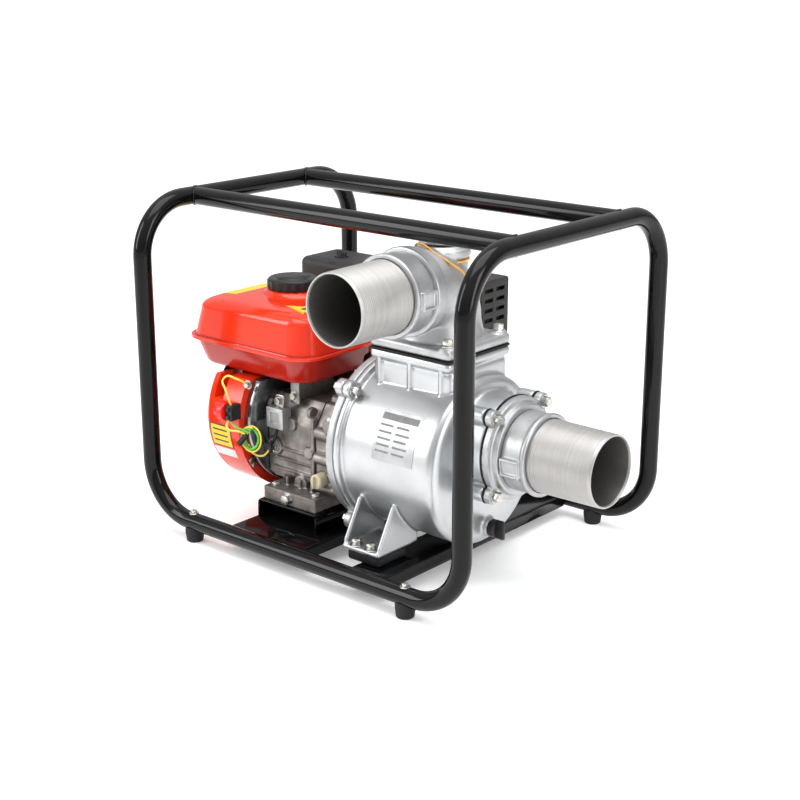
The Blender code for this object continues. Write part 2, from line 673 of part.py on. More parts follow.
def recoil_starter():
    s = FAN_SHEET
    x0, x1 = RECOIL_X
    rounding = 8 * MM
    outer = [(x1, RECOIL_R), (x0 + rounding, RECOIL_R), (x0 + 0.3 * rounding, RECOIL_R - 0.3 * rounding)]
    outer += [(x0, RECOIL_R - rounding), (x0, 0)]
    inner = [
        (x0 + s, 0),
        (x0 + s, RECOIL_R - rounding - s / 2),
        (x0 + rounding, RECOIL_R - s),
        (x1, RECOIL_R - s),
    ]
    cup = turned([*inner, *outer], "X", 32)
    post = rod(x0 + s / 2, -243 * MM, 6 * MM, "X", 16)
    guide = moved(rod(60 * MM, 74 * MM, 7 * MM, "Z", 12), ROPE_FRAME)
    guide_hole = moved(rod(50 * MM, 75 * MM, ROPE_HOLE_R, "Z", 8), ROPE_FRAME)
    slots = []
    for i in range(8):
        slot = block((x0 - MM, x0 + 3 * s), (-3.5 * MM, 3.5 * MM), (38 * MM, 56 * MM))
        slots.append(moved(slot, Matrix.Rotation(2 * math.pi * i / 8, 4, "X")))
    add("recoil_cover", cut(joined(cup, post, guide), guide_hole, gathered(slots)), RED_PAINT, parent=CRANK)

    x0, x1 = -260 * MM, -246 * MM
    bore = 6.4 * MM
    profile = [
        (x0, bore),
        (x0, 38 * MM),
        (x0 + 3 * MM, 38 * MM),
        (x0 + 5 * MM, ROPE_R - MM),
        (x1 - 5 * MM, ROPE_R - MM),
    ]
    profile += [(x1 - 3 * MM, 38 * MM), (x1, 38 * MM), (x1, bore)]
    add("recoil_pulley", turned(profile, "X", 36), BLACK_PLASTIC, parent=CRANK)

    bar = block((-9 * MM, 9 * MM), (-30 * MM, 30 * MM), (99 * MM, 121 * MM), 5 * MM)
    stem = rod(74.5 * MM, 102 * MM, 8 * MM, "Z", 12)
    hole = rod(74 * MM, 112 * MM, ROPE_HOLE_R, "Z", 8)
    add("starter_handle", moved(cut(joined(bar, stem), hole), ROPE_FRAME), BLACK_PLASTIC, parent=CRANK)


def engine_switch():
    body = joined(
        block((0.3 * MM, 22 * MM), (-11 * MM, 9 * MM), (-13 * MM, 13 * MM), 1.5 * MM),
        rod(-2 * MM, 3 * MM, 5 * MM, "X", 16),
    )
    add("switch_body", body, BLACK_PLASTIC, SWITCH, CRANK)
    knob = joined(
        turned([(-15 * MM, 0), (-15 * MM, 9 * MM), (-13 * MM, 11 * MM), (0, 12.5 * MM), (0, 0)], "X", 20),
        block((-17 * MM, -5 * MM), (-16 * MM, 0), (-3.5 * MM, 3.5 * MM), MM),
    )
    pocket = rod(-2.3 * MM, MM, 5.3 * MM, "X", 16)
    add("switch_knob", cut(knob, pocket), RED_PLASTIC, SWITCH, CRANK)


# ---- fuel tank, air cleaner and exhaust ----------------------------------------------------------
def tank_section(z, inset, shift=(0, 0)):
    """Level outline of the tank; shift moves its left and rear sides in further."""
    x = (TANK_X[0] + inset + shift[0], TANK_X[1] - inset)
    y = (TANK_Y[0] + inset, TANK_Y[1] - inset - shift[1])
    return [(*p, z) for p in rounded_outline(x, y, TANK_CORNER - 0.5 * inset, 5)]


def fuel_tank():
    lip = 3 * MM
    rows = [
        (TANK_FLOOR_Z, 24 * MM, (8 * MM, 0)),
        (TANK_FLOOR_Z + 7 * MM, 14 * MM, (8 * MM, 0)),
        (TANK_SEAM_Z - lip, 6 * MM, (2 * MM, 0)),
        (TANK_SEAM_Z - 0.8 * lip, 0, (0, 0)),
        (TANK_SEAM_Z + 0.8 * lip, 0, (0, 0)),
        (TANK_SEAM_Z + lip, 6 * MM, (0, 0)),
        (TANK_TOP_Z - 22 * MM, 10 * MM, (8 * MM, 0)),
        (TANK_TOP_Z - 8 * MM, 18 * MM, (20 * MM, 0)),
        (TANK_TOP_Z, 38 * MM, (28 * MM, 0)),
    ]
    outside = loft([tank_section(*row) for row in rows])
    w = TANK_SHEET
    inner_rows = [(z, inset + w, shift) for z, inset, shift in rows if inset]
    inner_rows[0] = (TANK_FLOOR_Z + w, 24 * MM, (8 * MM, 0))
    inner_rows[-1] = (TANK_TOP_Z - w, 38 * MM, (28 * MM, 0))
    inside = loft([tank_section(*row) for row in inner_rows])

    def cylinder_recess(grow):
        x = (-160 * MM - grow, 0)
        return block(x, (-8 * MM - grow, 60 * MM), (200 * MM, TANK_FLOOR_Z + 26 * MM + grow))

    outside = cut(outside, cylinder_recess(0))
    inside = cut(inside, cylinder_recess(w))
    collar = rod(TANK_TOP_Z - 8 * MM, TANK_TOP_Z + 2 * MM, 25 * MM, "Z", 24, (*TANK_CAP, 0))
    filler = rod(TANK_TOP_Z - 12 * MM, TANK_TOP_Z + 3 * MM, 22.3 * MM, "Z", 24, (*TANK_CAP, 0))
    add("fuel_tank", cut(joined(outside, collar), inside, filler), RED_PAINT)

    outline = []
    for i in range(36):
        a = 2 * math.pi * i / 36
        r = (39.2 + 0.8 * math.cos(12 * a)) * MM
        outline.append((r * math.cos(a), r * math.sin(a)))
    skirt = prism(outline, MM, 14 * MM, "Z")
    crown = turned(
        [(13 * MM, 0), (13 * MM, 38.4 * MM), (17 * MM, 35 * MM), (19.5 * MM, 20 * MM), (20 * MM, 0)],
        "Z",
        24,
    )
    under = turned([(0, 25.3 * MM), (0, 37 * MM), (6 * MM, 37 * MM), (6 * MM, 25.3 * MM)], "Z", 24)
    plug = rod(-9 * MM, 8 * MM, 22 * MM, "Z", 24)
    cap = joined(cut(joined(skirt, crown), under), plug)
    neck = turned([(0, 22 * MM), (0, 25.3 * MM), (2.3 * MM, 25.3 * MM), (2.3 * MM, 22 * MM)], "Z", 24)
    add("fuel_cap", cut(cap, neck), BLACK_PLASTIC, (*TANK_CAP, TANK_TOP_Z))

    left = block(
        (-222 * MM, -207 * MM), (-120 * MM, 20 * MM), (CRANK_Z + BRACKET_SEAT + GAP, TANK_FLOOR_Z - GAP)
    )
    add("tank_bracket_left", left, SHEET_GREY)
    seat = CRANK_Z + CASE_TOP + GAP
    right = joined(
        block((-110 * MM, -93 * MM), (-115 * MM, -40 * MM), (seat, TANK_FLOOR_Z - GAP)),
        block((-110 * MM, -93 * MM), (-115 * MM, -108 * MM), (seat - 7 * MM, seat + 5 * MM)),
    )
    add("tank_bracket_right", right, SHEET_GREY)


def port_place(port, side):
    """The end of a cylinder head port, in the pump set's frame."""
    at = CYLINDER_FRAME @ Vector((side * PORT_LENGTH, port[1], port[2]))
    return at + Vector((0, CRANK_Y, CRANK_Z))


def carburettor():
    port = port_place(INTAKE_PORT, -1)
    length = 54 * MM
    throat = rod(-length, -3 * MM, 17 * MM, "X", 20)
    flange = block((-6 * MM, -GAP), (-24 * MM, 24 * MM), (-18.5 * MM, 18.5 * MM), 2 * MM)
    bowl = turned(
        [(-44 * MM, 0), (-44 * MM, 15 * MM), (-40 * MM, 19 * MM), (-8 * MM, 20 * MM), (-8 * MM, 0)], "Z", 18
    )
    bowl = moved(bowl, Matrix.Translation((-length / 2, 0, 0)))
    bore = rod(-length - MM, MM, 11 * MM, "X", 20)
    add("carburettor", cut(joined(throat, flange, bowl), bore), CAST, port)

    def lever(name, at, turn, length, angle, finish):
        """Flat lever 3 mm thick on a small boss, pointing along angle."""
        boss = turned([(0, 0), (0, 6 * MM), (7 * MM, 6 * MM), (7 * MM, 0)], "Z", 16)
        arm = block((0, length), (-4 * MM, 4 * MM), (2 * MM, 5 * MM))
        tip = block((length - 12 * MM, length), (-6 * MM, 6 * MM), (2 * MM, 8 * MM), 1.5 * MM)
        shape = moved(joined(boss, arm, tip), Matrix.Rotation(angle, 4, "Z"))
        add(name, shape, finish, at, PUMP_SET, turn)

    bowl_x = port.x - length / 2
    lever(
        "choke_lever",
        (bowl_x, port.y, port.z + 17.3 * MM),
        (0, 0, 0),
        34 * MM,
        math.radians(-90),
        BLACK_PLASTIC,
    )
    valve_at = (bowl_x, port.y - 20.3 * MM, port.z - 28 * MM)
    lever("fuel_valve_lever", valve_at, (math.pi / 2, 0, 0), 19 * MM, 0, BLACK_PLASTIC)
    pivot = (-196 * MM, 56 * MM, CRANK_Z + FAN_TOP + 24 * MM)
    lever("throttle_lever", pivot, (0, 0, 0), 44 * MM, math.radians(175), ZINC)
    stand = block((-203 * MM, -170 * MM), (44 * MM, 66 * MM), (CRANK_Z + FAN_TOP + GAP, pivot[2] - GAP), MM)
    foot = block(
        (-203 * MM, -170 * MM), (24 * MM, 60 * MM), (CRANK_Z + FAN_TOP + GAP, CRANK_Z + FAN_TOP + 3 * MM)
    )
    add("throttle_stand", joined(stand, foot), SHEET_GREY)


def air_cleaner():
    low, seam, top = AIR_Z
    cover = block(AIR_X, AIR_Y, (seam - 10 * MM, top), 14 * MM, 3)
    skirt_cut = block((-300 * MM, 0), (0, 200 * MM), (seam - 30 * MM, seam + GAP))
    wall = 3 * MM
    hollow = block(
        (AIR_X[0] + wall, AIR_X[1] - wall),
        (AIR_Y[0] + wall, AIR_Y[1] - wall),
        (seam - 20 * MM, top - wall),
        12 * MM,
        3,
    )
    stud_hole = rod(seam, top + MM, 3.6 * MM, "Z", 12, (*AIR_STUD, 0))
    add("air_cleaner_cover", cut(cover, skirt_cut, hollow, stud_hole), BLACK_PLASTIC)

    base = block(
        (AIR_X[0] + 2 * MM, AIR_X[1] - 2 * MM), (AIR_Y[0] + 2 * MM, AIR_Y[1] - 2 * MM), (low, seam), 2 * MM
    )
    tray = block(
        (AIR_X[0] + 8 * MM, AIR_X[1] - 8 * MM),
        (AIR_Y[0] + 8 * MM, AIR_Y[1] - 8 * MM),
        (low + 4 * MM, seam + MM),
    )
    stud = rod(low + MM, top + 4 * MM, 3 * MM, "Z", 12, (*AIR_STUD, 0))
    port = port_place(INTAKE_PORT, -1)
    face = port.x - 54 * MM - GAP
    duct = block(
        (face - 24 * MM, face), (port.y - 18 * MM, port.y + 18 * MM), (port.z - 18 * MM, low + MM), 3 * MM
    )
    duct_up = block(
        (face - 20 * MM, face - 4 * MM),
        (port.y - 13 * MM, port.y + 13 * MM),
        (port.z - 11 * MM, low + 6 * MM),
    )
    duct_in = rod(face - 10 * MM, face + MM, 11 * MM, "X", 20, (0, port.y, port.z))
    add("air_cleaner_base", cut(joined(cut(base, tray), duct, stud), duct_up, duct_in), BLACK_PLASTIC)

    knob = turned(
        [(0, 0), (0, 11 * MM), (3 * MM, 11 * MM), (3 * MM, 6 * MM), (8 * MM, 6 * MM), (8 * MM, 0)], "Z", 20
    )
    wings = block((-10 * MM, 10 * MM), (-2 * MM, 2 * MM), (2 * MM, 10 * MM), 1.2 * MM)
    stud_pocket = rod(-MM, 5 * MM, 3.3 * MM, "Z", 12)
    add("air_cleaner_knob", cut(joined(knob, wings), stud_pocket), BLACK_PLASTIC, (*AIR_STUD, top + GAP))

    element = block(
        (AIR_X[0] + 14 * MM, AIR_X[1] - 14 * MM),
        (AIR_Y[0] + 12 * MM, AIR_Y[1] - 12 * MM),
        (seam + MM, top - 10 * MM),
        4 * MM,
    )
    add("filter_element", cut(element, rod(seam, top, 12 * MM, "Z", 20, (*AIR_STUD, 0))), FOAM)


def exhaust():
    wall = 1.5 * MM
    x, y, z = MUFFLER_X, MUFFLER_Y, MUFFLER_Z
    can = block(x, y, z, 10 * MM)
    hollow = block(*[(low + wall, high - wall) for low, high in (x, y, z)], 9 * MM)
    port = port_place(EXHAUST_PORT, 1)
    pipe_x = port.x + 26 * MM
    bend = 20 * MM
    path = rounded_path(
        [port + Vector((GAP, 0, 0)), (pipe_x, port.y, port.z), (pipe_x, port.y, z[0] + 0.7 * MM)], bend, 5
    )
    flue = pipe(path, 13 * MM, 10.5 * MM, 12)
    inlet = rod(z[0] - MM, z[0] + 3 * MM, 10.5 * MM, "Z", 16, (pipe_x, port.y, 0))
    outlet = rod(x[1] - 4 * MM, x[1] + MM, 9 * MM, "X", 16, (0, 82 * MM, 324 * MM))
    add("muffler", cut(joined(cut(can, hollow), flue), inlet, outlet), BLACK_METAL)

    outside = block(
        (x[0] - 4 * MM, x[1] + 8 * MM),
        (y[0] - 4 * MM, y[1] + 4 * MM),
        (z[0] - 4 * MM, z[1] + 6 * MM),
        2.5 * MM,
    )
    inner = block(
        (x[0] - 30 * MM, x[1] + 6 * MM), (y[0] - 2 * MM, y[1] + 2 * MM), (z[0] - 30 * MM, z[1] + 4 * MM)
    )
    slots = []
    for row in range(5):
        for column in range(3):
            y0 = y[0] + (8 + 28 * column) * MM
            z0 = z[0] + (8 + 15 * row) * MM
            slots.append(block((x[1], x[1] + 20 * MM), (y0, y0 + 20 * MM), (z0, z0 + 6 * MM)))
    add("muffler_guard", cut(outside, inner, gathered(slots)), BLACK_METAL)


# ---- pump ----------------------------------------------------------------------------------------
def lobes(x, radius=13 * MM):
    """Bolt bosses round the pump's main flange."""
    bosses = []
    for degrees, distance in FLANGE_LOBES:
        a = math.radians(degrees)
        bosses.append(rod(*x, radius, "X", 12, (0, distance * math.cos(a), distance * math.sin(a))))
    return bosses


def ears(x, radius):
    """Bolt ears round the suction port, about its axis."""
    ring = []
    for degrees in (45, 135, 225, 315):
        a = math.radians(degrees)
        ring.append(rod(*x, radius, "X", 12, (0, 77 * MM * math.cos(a), 77 * MM * math.sin(a))))
    return ring


def pump_bracket():
    x = (15 * MM, CASING_X[0] - GAP)
    disc = rod(*x, FLANGE_R, "X", 40)
    hub = rod(COVER_X[1] + GAP, x[0] + MM, 62 * MM, "X", 28)
    hub_hollow = turned(
        [
            (COVER_X[1], 24 * MM), (COVER_X[1], 54 * MM), (x[0] - 2 * MM, 54 * MM), (x[0] - 2 * MM, 24 * MM)
        ], "X", 28
    )
    bore = rod(COVER_X[1] - MM, x[1] + MM, 17 * MM, "X", 24)
    add("pump_bracket", cut(joined(disc, *lobes(x), hub), hub_hollow, bore), CAST, parent=CRANK)


def foot_parts(side):
    """Cast foot on the front (-1) or rear (1) of the casing, about the crank axis."""
    def y(distance):
        return side * distance

    low, high = 52 * MM - CRANK_Z, 58 * MM - CRANK_Z
    ends = sorted((y(70 * MM), y(146 * MM)))
    plate = block((64 * MM, 131 * MM), ends, (low, high))
    rib = [
        (y(142 * MM), low + MM),
        (y(142 * MM), high + 6 * MM),
        (y(112 * MM), -54 * MM),
        (y(60 * MM), -54 * MM),
        (y(60 * MM), low + MM),
    ]
    return [plate, prism(rib, 64 * MM, 70 * MM, "X"), prism(rib, 125 * MM, 131 * MM, "X")]


def pump_casing():
    lift = SUCTION_Z - CRANK_Z
    x0, x1 = CASING_X
    r = CASING_R
    w = CASING_WALL
    inner_r = r - w
    drum = [(x1 - w, 0), (x1 - w, inner_r - 8 * MM), (x1 - w - 8 * MM, inner_r)]
    skin = [(x0, FLANGE_R), (x0 + 10 * MM, FLANGE_R), (x0 + 10 * MM, r - 4 * MM), (x1 - 10 * MM, r)]
    nose = [(x1 - 3 * MM, r - 2 * MM), (x1, r - 9 * MM), (x1, 0)]
    shell = turned([*drum, (x0, inner_r), *skin, *nose], "X", 40)
    neck_y = (NECK_Y[0] + 5 * MM - CRANK_Y, NECK_Y[1] - 4 * MM - CRANK_Y)
    top = NECK_TOP_Z - CRANK_Z
    neck = block(NECK_X, neck_y, (60 * MM, top - 10 * MM))
    flange = block(NECK_X, (NECK_Y[0] - CRANK_Y, NECK_Y[1] - CRANK_Y), (top - 14 * MM, top))
    boss = rod(x1 - 5 * MM, SUCTION_FACE_X, 70 * MM, "X", 40, (0, 0, lift))
    boss_ears = [
        moved(ear, Matrix.Translation((0, 0, lift)))
        for ear in ears((x1 + 14 * MM, SUCTION_FACE_X), 12 * MM)
    ]
    drain = rod(x1 - 5 * MM, x1 + 8 * MM, 14 * MM, "X", 20, DRAIN)
    feet = foot_parts(-1) + foot_parts(1)
    outside = joined(shell, *lobes((x0, x0 + 12 * MM)), neck, flange, boss, *boss_ears, drain, *feet)

    chamber = turned([*drum, (x0 - MM, inner_r), (x0 - MM, 0)], "X", 40)
    neck_hollow = block((NECK_X[0] + w, NECK_X[1] - w), (neck_y[0] + w, neck_y[1] - w), (40 * MM, top + MM))
    inlet = rod(x1 - 2 * w, SUCTION_FACE_X + MM, PORT_R, "X", 40, (0, 0, lift))
    drain_hole = rod(x1 - 2 * w, x1 + 9 * MM, 8.3 * MM, "X", 16, DRAIN)
    add("pump_casing", cut(outside, chamber, neck_hollow, inlet, drain_hole), CAST, parent=CRANK)

    drain_knob = joined(
        rod(-12 * MM, MM, 8 * MM, "X", 16),
        turned([(GAP, 0), (GAP, 13 * MM), (9 * MM, 12 * MM), (9 * MM, 0)], "X", 20),
        block((6 * MM, 22 * MM), (-3 * MM, 3 * MM), (-14 * MM, 14 * MM), 2 * MM),
    )
    drain_at = (x1 + 8 * MM, DRAIN[1], DRAIN[2])
    add("drain_knob", drain_knob, BLACK_PLASTIC, drain_at, CRANK)


def pump_inside():
    x0 = CASING_X[0]
    x1 = IMPELLER_X[1] + 6 * MM
    wall = 6 * MM
    inner = IMPELLER_R + 10 * MM
    profile = [
        (x0, inner),
        (x1 - wall, inner),
        (x1 - wall, 28 * MM),
        (x1, 28 * MM),
        (x1, inner + wall),
        (x0, inner + wall),
    ]
    scroll = turned(profile, "X", 40)
    discharge = block((x0 + 12 * MM, x1 - 8 * MM), (-30 * MM, 30 * MM), (60 * MM, 100 * MM))
    add("volute", cut(scroll, discharge), CAST, parent=CRANK)
    seal = [
        (x0 + MM, 12.8 * MM),
        (x0 + MM, 24 * MM),
        (x0 + 10 * MM, 24 * MM),
        (50 * MM, 18 * MM),
        (50 * MM, 12.8 * MM),
    ]
    add("shaft_seal", turned(seal, "X", 28), RUBBER, parent=CRANK)


def union_profile():
    """(nozzle, nut, tail) profiles along the port's axis, from its hub face."""
    nozzle_r = 49 * MM
    collar = (NOZZLE_LENGTH + GAP, NOZZLE_LENGTH + 6 * MM)
    bore = TAIL_MOUTH_R - TAIL_WALL
    nozzle = [
        (-2 * MM, nozzle_r - 8 * MM),
        (-2 * MM, nozzle_r),
        (NOZZLE_LENGTH, nozzle_r),
        (NOZZLE_LENGTH, nozzle_r - 8 * MM),
    ]
    nut = [
        (GAP, nozzle_r + GAP),
        (GAP, NUT_R),
        (NUT_LENGTH - 3 * MM, NUT_R),
        (NUT_LENGTH, NUT_R - 2 * MM),
        (NUT_LENGTH, TAIL_ROOT_R + GAP),
        (collar[1] + GAP, TAIL_ROOT_R + GAP),
        (collar[1] + GAP, TAIL_ROOT_R + 3 * MM),
        (NOZZLE_LENGTH, TAIL_ROOT_R + 3 * MM),
        (NOZZLE_LENGTH, nozzle_r + GAP),
    ]
    tail = [
        (collar[0], bore),
        (collar[0], TAIL_ROOT_R + 2.6 * MM),
        (collar[1], TAIL_ROOT_R + 2.6 * MM),
        (collar[1], TAIL_ROOT_R),
        (TAIL_END, TAIL_MOUTH_R),
        (TAIL_END, bore),
    ]
    return nozzle, nut, tail


def union_nut(profile, lug_angle):
    nut = turned(profile, "Z", 32)
    lugs = []
    for k in range(2):
        lug = block((NUT_R - 2.5 * MM, NUT_R + 5 * MM), (-12 * MM, 12 * MM), (2 * MM, NUT_LENGTH - 3 * MM))
        lugs.append(moved(lug, Matrix.Rotation(lug_angle + math.pi * k, 4, "Z")))
    return joined(nut, *lugs)


def suction_side():
    at = (SUCTION_HUB_X, CRANK_Y, SUCTION_Z)
    facing = (0, math.pi / 2, 0)
    nozzle, nut, tail = union_profile()
    face = SUCTION_FACE_X - SUCTION_HUB_X  # the casing's face, from the hub face
    plate = (face + 2.6 * MM, face + 14 * MM)
    seat_r = 39 * MM
    flange = joined(
        turned([(plate[0], seat_r), (plate[0], 72 * MM), (plate[1], 72 * MM), (plate[1], seat_r)], "X", 32),
        *ears(plate, 12 * MM),
        turned([(plate[0] + MM, seat_r), (plate[0] + MM, 64 * MM), (0, 64 * MM), (0, seat_r)], "X", 32),
        turned(nozzle, "X", 32),
    )
    add("suction_flange", flange, CAST, at)
    gasket_x = (face + GAP, face + 2.3 * MM)
    gasket = joined(
        turned(
            [
                (gasket_x[0], 47 * MM),
                (gasket_x[0], 73 * MM),
                (gasket_x[1], 73 * MM),
                (gasket_x[1], 47 * MM),
            ],
            "X",
            40,
        ),
        *ears(gasket_x, 12.6 * MM),
    )
    add("suction_gasket", gasket, RUBBER, at)
    add("suction_nut", union_nut(nut, math.radians(-90)), CAST, at, turn=facing)
    add("suction_tail", turned(tail, "Z", 40), CAST, at, turn=facing)

    hinge_height = 43 * MM
    flap = rod(-2 * MM, 2 * MM, 42.5 * MM, "X", 32, (0, 0, -hinge_height))
    weight = rod(-7 * MM, 0, 26 * MM, "X", 24, (0, 0, -hinge_height))
    hinge_at = (SUCTION_FACE_X - MM, CRANK_Y, SUCTION_Z + hinge_height)
    add("suction_flap", joined(flap, weight), RUBBER, hinge_at)


def outlet_side():
    nozzle, nut, tail = union_profile()
    at = (OUTLET_X, OUTLET_HUB_Y, OUTLET_Z)
    facing = (math.pi / 2, 0, 0)
    base_z = NECK_TOP_Z + 2.6 * MM
    gasket_hole = block(
        (NECK_X[0] + 12 * MM, NECK_X[1] - 12 * MM),
        (NECK_Y[0] + 14 * MM, NECK_Y[1] - 14 * MM),
        (300 * MM, 350 * MM),
    )
    sheet = block(
        (NECK_X[0] - MM, NECK_X[1] + MM), (NECK_Y[0] - MM, NECK_Y[1] + MM), (NECK_TOP_Z + GAP, base_z - GAP)
    )
    add("outlet_gasket", cut(sheet, gasket_hole), RUBBER)

    bend = 50 * MM
    outer_r = 56 * MM
    centre_y = (NECK_Y[0] + NECK_Y[1]) / 2
    corners = [
        (OUTLET_X, centre_y, base_z + MM),
        (OUTLET_X, centre_y, OUTLET_Z),
        (OUTLET_X, OUTLET_HUB_Y, OUTLET_Z),
    ]
    route = rounded_path(corners, bend, 6)
    body = pipe(route, outer_r, 0, 20)
    flange = block(NECK_X, NECK_Y, (base_z, base_z + 18 * MM), 2 * MM)
    port = turned(
        [(0, 0), (0, 36 * MM), (70 * MM, 36 * MM), (74 * MM, 34 * MM), (74 * MM, 0)],
        "Z",
        32,
        (*PORT_CENTRE, 398 * MM),
    )
    spigot = moved(turned(nozzle, "Z", 32), Matrix.Translation(at) @ Matrix.Rotation(math.pi / 2, 4, "X"))
    back, front = route[0] - Vector((0, 0, 3 * MM)), route[-1] - Vector((0, 30 * MM, 0))
    bore = pipe([back, *route[1:-1], front], PORT_R - 7 * MM, 0, 20)
    port_bore = rod(OUTLET_Z, 480 * MM, 26 * MM, "Z", 28, (*PORT_CENTRE, 0))
    add("outlet_elbow", cut(joined(body, flange, port, spigot), bore, port_bore), CAST)

    add("outlet_nut", union_nut(nut, 0), CAST, at, turn=facing)
    add("outlet_tail", turned(tail, "Z", 40), CAST, at, turn=facing)

    cap_z = 472 * MM
    cap = joined(
        rod(-18 * MM, MM, 25.6 * MM, "Z", 28),
        turned([(GAP, 0), (GAP, 32 * MM), (6 * MM, 32 * MM), (8 * MM, 30 * MM), (8 * MM, 0)], "Z", 32),
        block((-26 * MM, 26 * MM), (-4 * MM, 4 * MM), (7 * MM, 14.5 * MM), 2 * MM),
    )
    add("priming_cap", cap, CAST, (*PORT_CENTRE, cap_z))


def rubber_mounts():
    for end, s in FRONT_AND_REAR:
        y = sorted((CRANK_Y + s * 80 * MM, CRANK_Y + s * 142 * MM))
        mount = block((70 * MM, 128 * MM), y, (CHANNEL_TOP_Z + GAP, 52 * MM - GAP), 3 * MM)
        add(f"rubber_mount_{end}", mount, RUBBER)


frame()
rubber_feet()
cross_members()
crankcase()
crankcase_cover()
oil_dipstick()
cylinder_head()
piston()
rotor()
fan_cover()
recoil_starter()
engine_switch()
fuel_tank()
carburettor()
air_cleaner()
exhaust()
pump_bracket()
pump_casing()
pump_inside()
suction_side()
outlet_side()
rubber_mounts()
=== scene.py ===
"""Looks of the portable fire pump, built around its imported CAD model.

Shapes are made in millimetres from SET, the point on the ground in the middle of the frame's
tubes: X runs to the suction tail, -Y to the outlet tail and Z up.  piece() takes them to metres.
"""

import json  # noqa: E402
import math  # noqa: E402

import bmesh  # noqa: E402
import bpy  # noqa: E402
from mathutils import Matrix, Vector  # noqa: E402


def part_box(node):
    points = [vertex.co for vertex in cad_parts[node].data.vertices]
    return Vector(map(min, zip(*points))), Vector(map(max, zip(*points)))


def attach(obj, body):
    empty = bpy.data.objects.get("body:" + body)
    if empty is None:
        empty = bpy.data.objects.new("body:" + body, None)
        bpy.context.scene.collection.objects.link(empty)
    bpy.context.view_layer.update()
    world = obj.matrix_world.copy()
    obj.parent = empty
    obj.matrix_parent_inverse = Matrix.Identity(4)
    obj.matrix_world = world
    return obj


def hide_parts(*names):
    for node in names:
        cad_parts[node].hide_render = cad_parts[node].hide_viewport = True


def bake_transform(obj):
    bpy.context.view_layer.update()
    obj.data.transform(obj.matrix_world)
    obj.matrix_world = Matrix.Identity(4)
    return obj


MM = 0.001
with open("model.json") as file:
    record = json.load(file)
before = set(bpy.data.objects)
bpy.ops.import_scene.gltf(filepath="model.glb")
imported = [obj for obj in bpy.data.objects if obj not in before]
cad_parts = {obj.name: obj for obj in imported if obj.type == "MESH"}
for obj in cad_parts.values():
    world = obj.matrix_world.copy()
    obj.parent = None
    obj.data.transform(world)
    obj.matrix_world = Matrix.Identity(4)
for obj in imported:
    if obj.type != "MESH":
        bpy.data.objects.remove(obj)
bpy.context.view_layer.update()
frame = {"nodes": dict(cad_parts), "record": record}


def low(node):
    """Low corner of a CAD node's box, in millimetres from SET."""
    return (Vector(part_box(node)[0]) - SET) / MM


def high(node):
    return (Vector(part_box(node)[1]) - SET) / MM


def middle(node):
    return (low(node) + high(node)) / 2


# ---- places and sizes, from the frame -----------------------------------------------------------
SET = Vector((0, 0, 0))  # low() and high() measure from here, until the real SET is known
SET = Vector(
    (
        (low("frame_left_tube").x + high("frame_right_tube").x) / 2 * MM,
        (low("top_bar_front").y + high("top_bar_rear").y) / 2 * MM,
        0,
    )
)
TUBE_R = (high("top_bar_front").z - low("top_bar_front").z) / 2
FRAME_X = high("frame_right_tube").x - TUBE_R
FRAME_Y = high("frame_right_tube").y - TUBE_R
RAIL_Z = low("frame_left_tube").z + TUBE_R
TOP_Z = high("frame_left_tube").z - TUBE_R
TOP_BAR_Y = high("top_bar_rear").y - TUBE_R
TUBE_BEND = 80
RAIL_SEAM_X = low("frame_right_tube").x
CRANK = middle("flywheel")
CRANK.x = 0
SUCTION = Vector((high("suction_flange").x, middle("suction_tail").y, middle("suction_tail").z))
OUTLET = Vector((middle("outlet_tail").x, low("outlet_elbow").y, middle("outlet_tail").z))
NOZZLE = 20  # length of the pipe stub inside a hose nut
SUCTION.x -= NOZZLE
OUTLET.y += NOZZLE
FOOT_X = [middle(f"rubber_foot_front_{name}").x for name in ("left", "right")]
CAP_HEIGHT = 20
TANK_TOP = high("fuel_cap").z - CAP_HEIGHT
TANK_SHOULDER = TANK_TOP - 20
TANK_SEAM = 288
FAN_X = (-240, -166)
FAN_R = 118


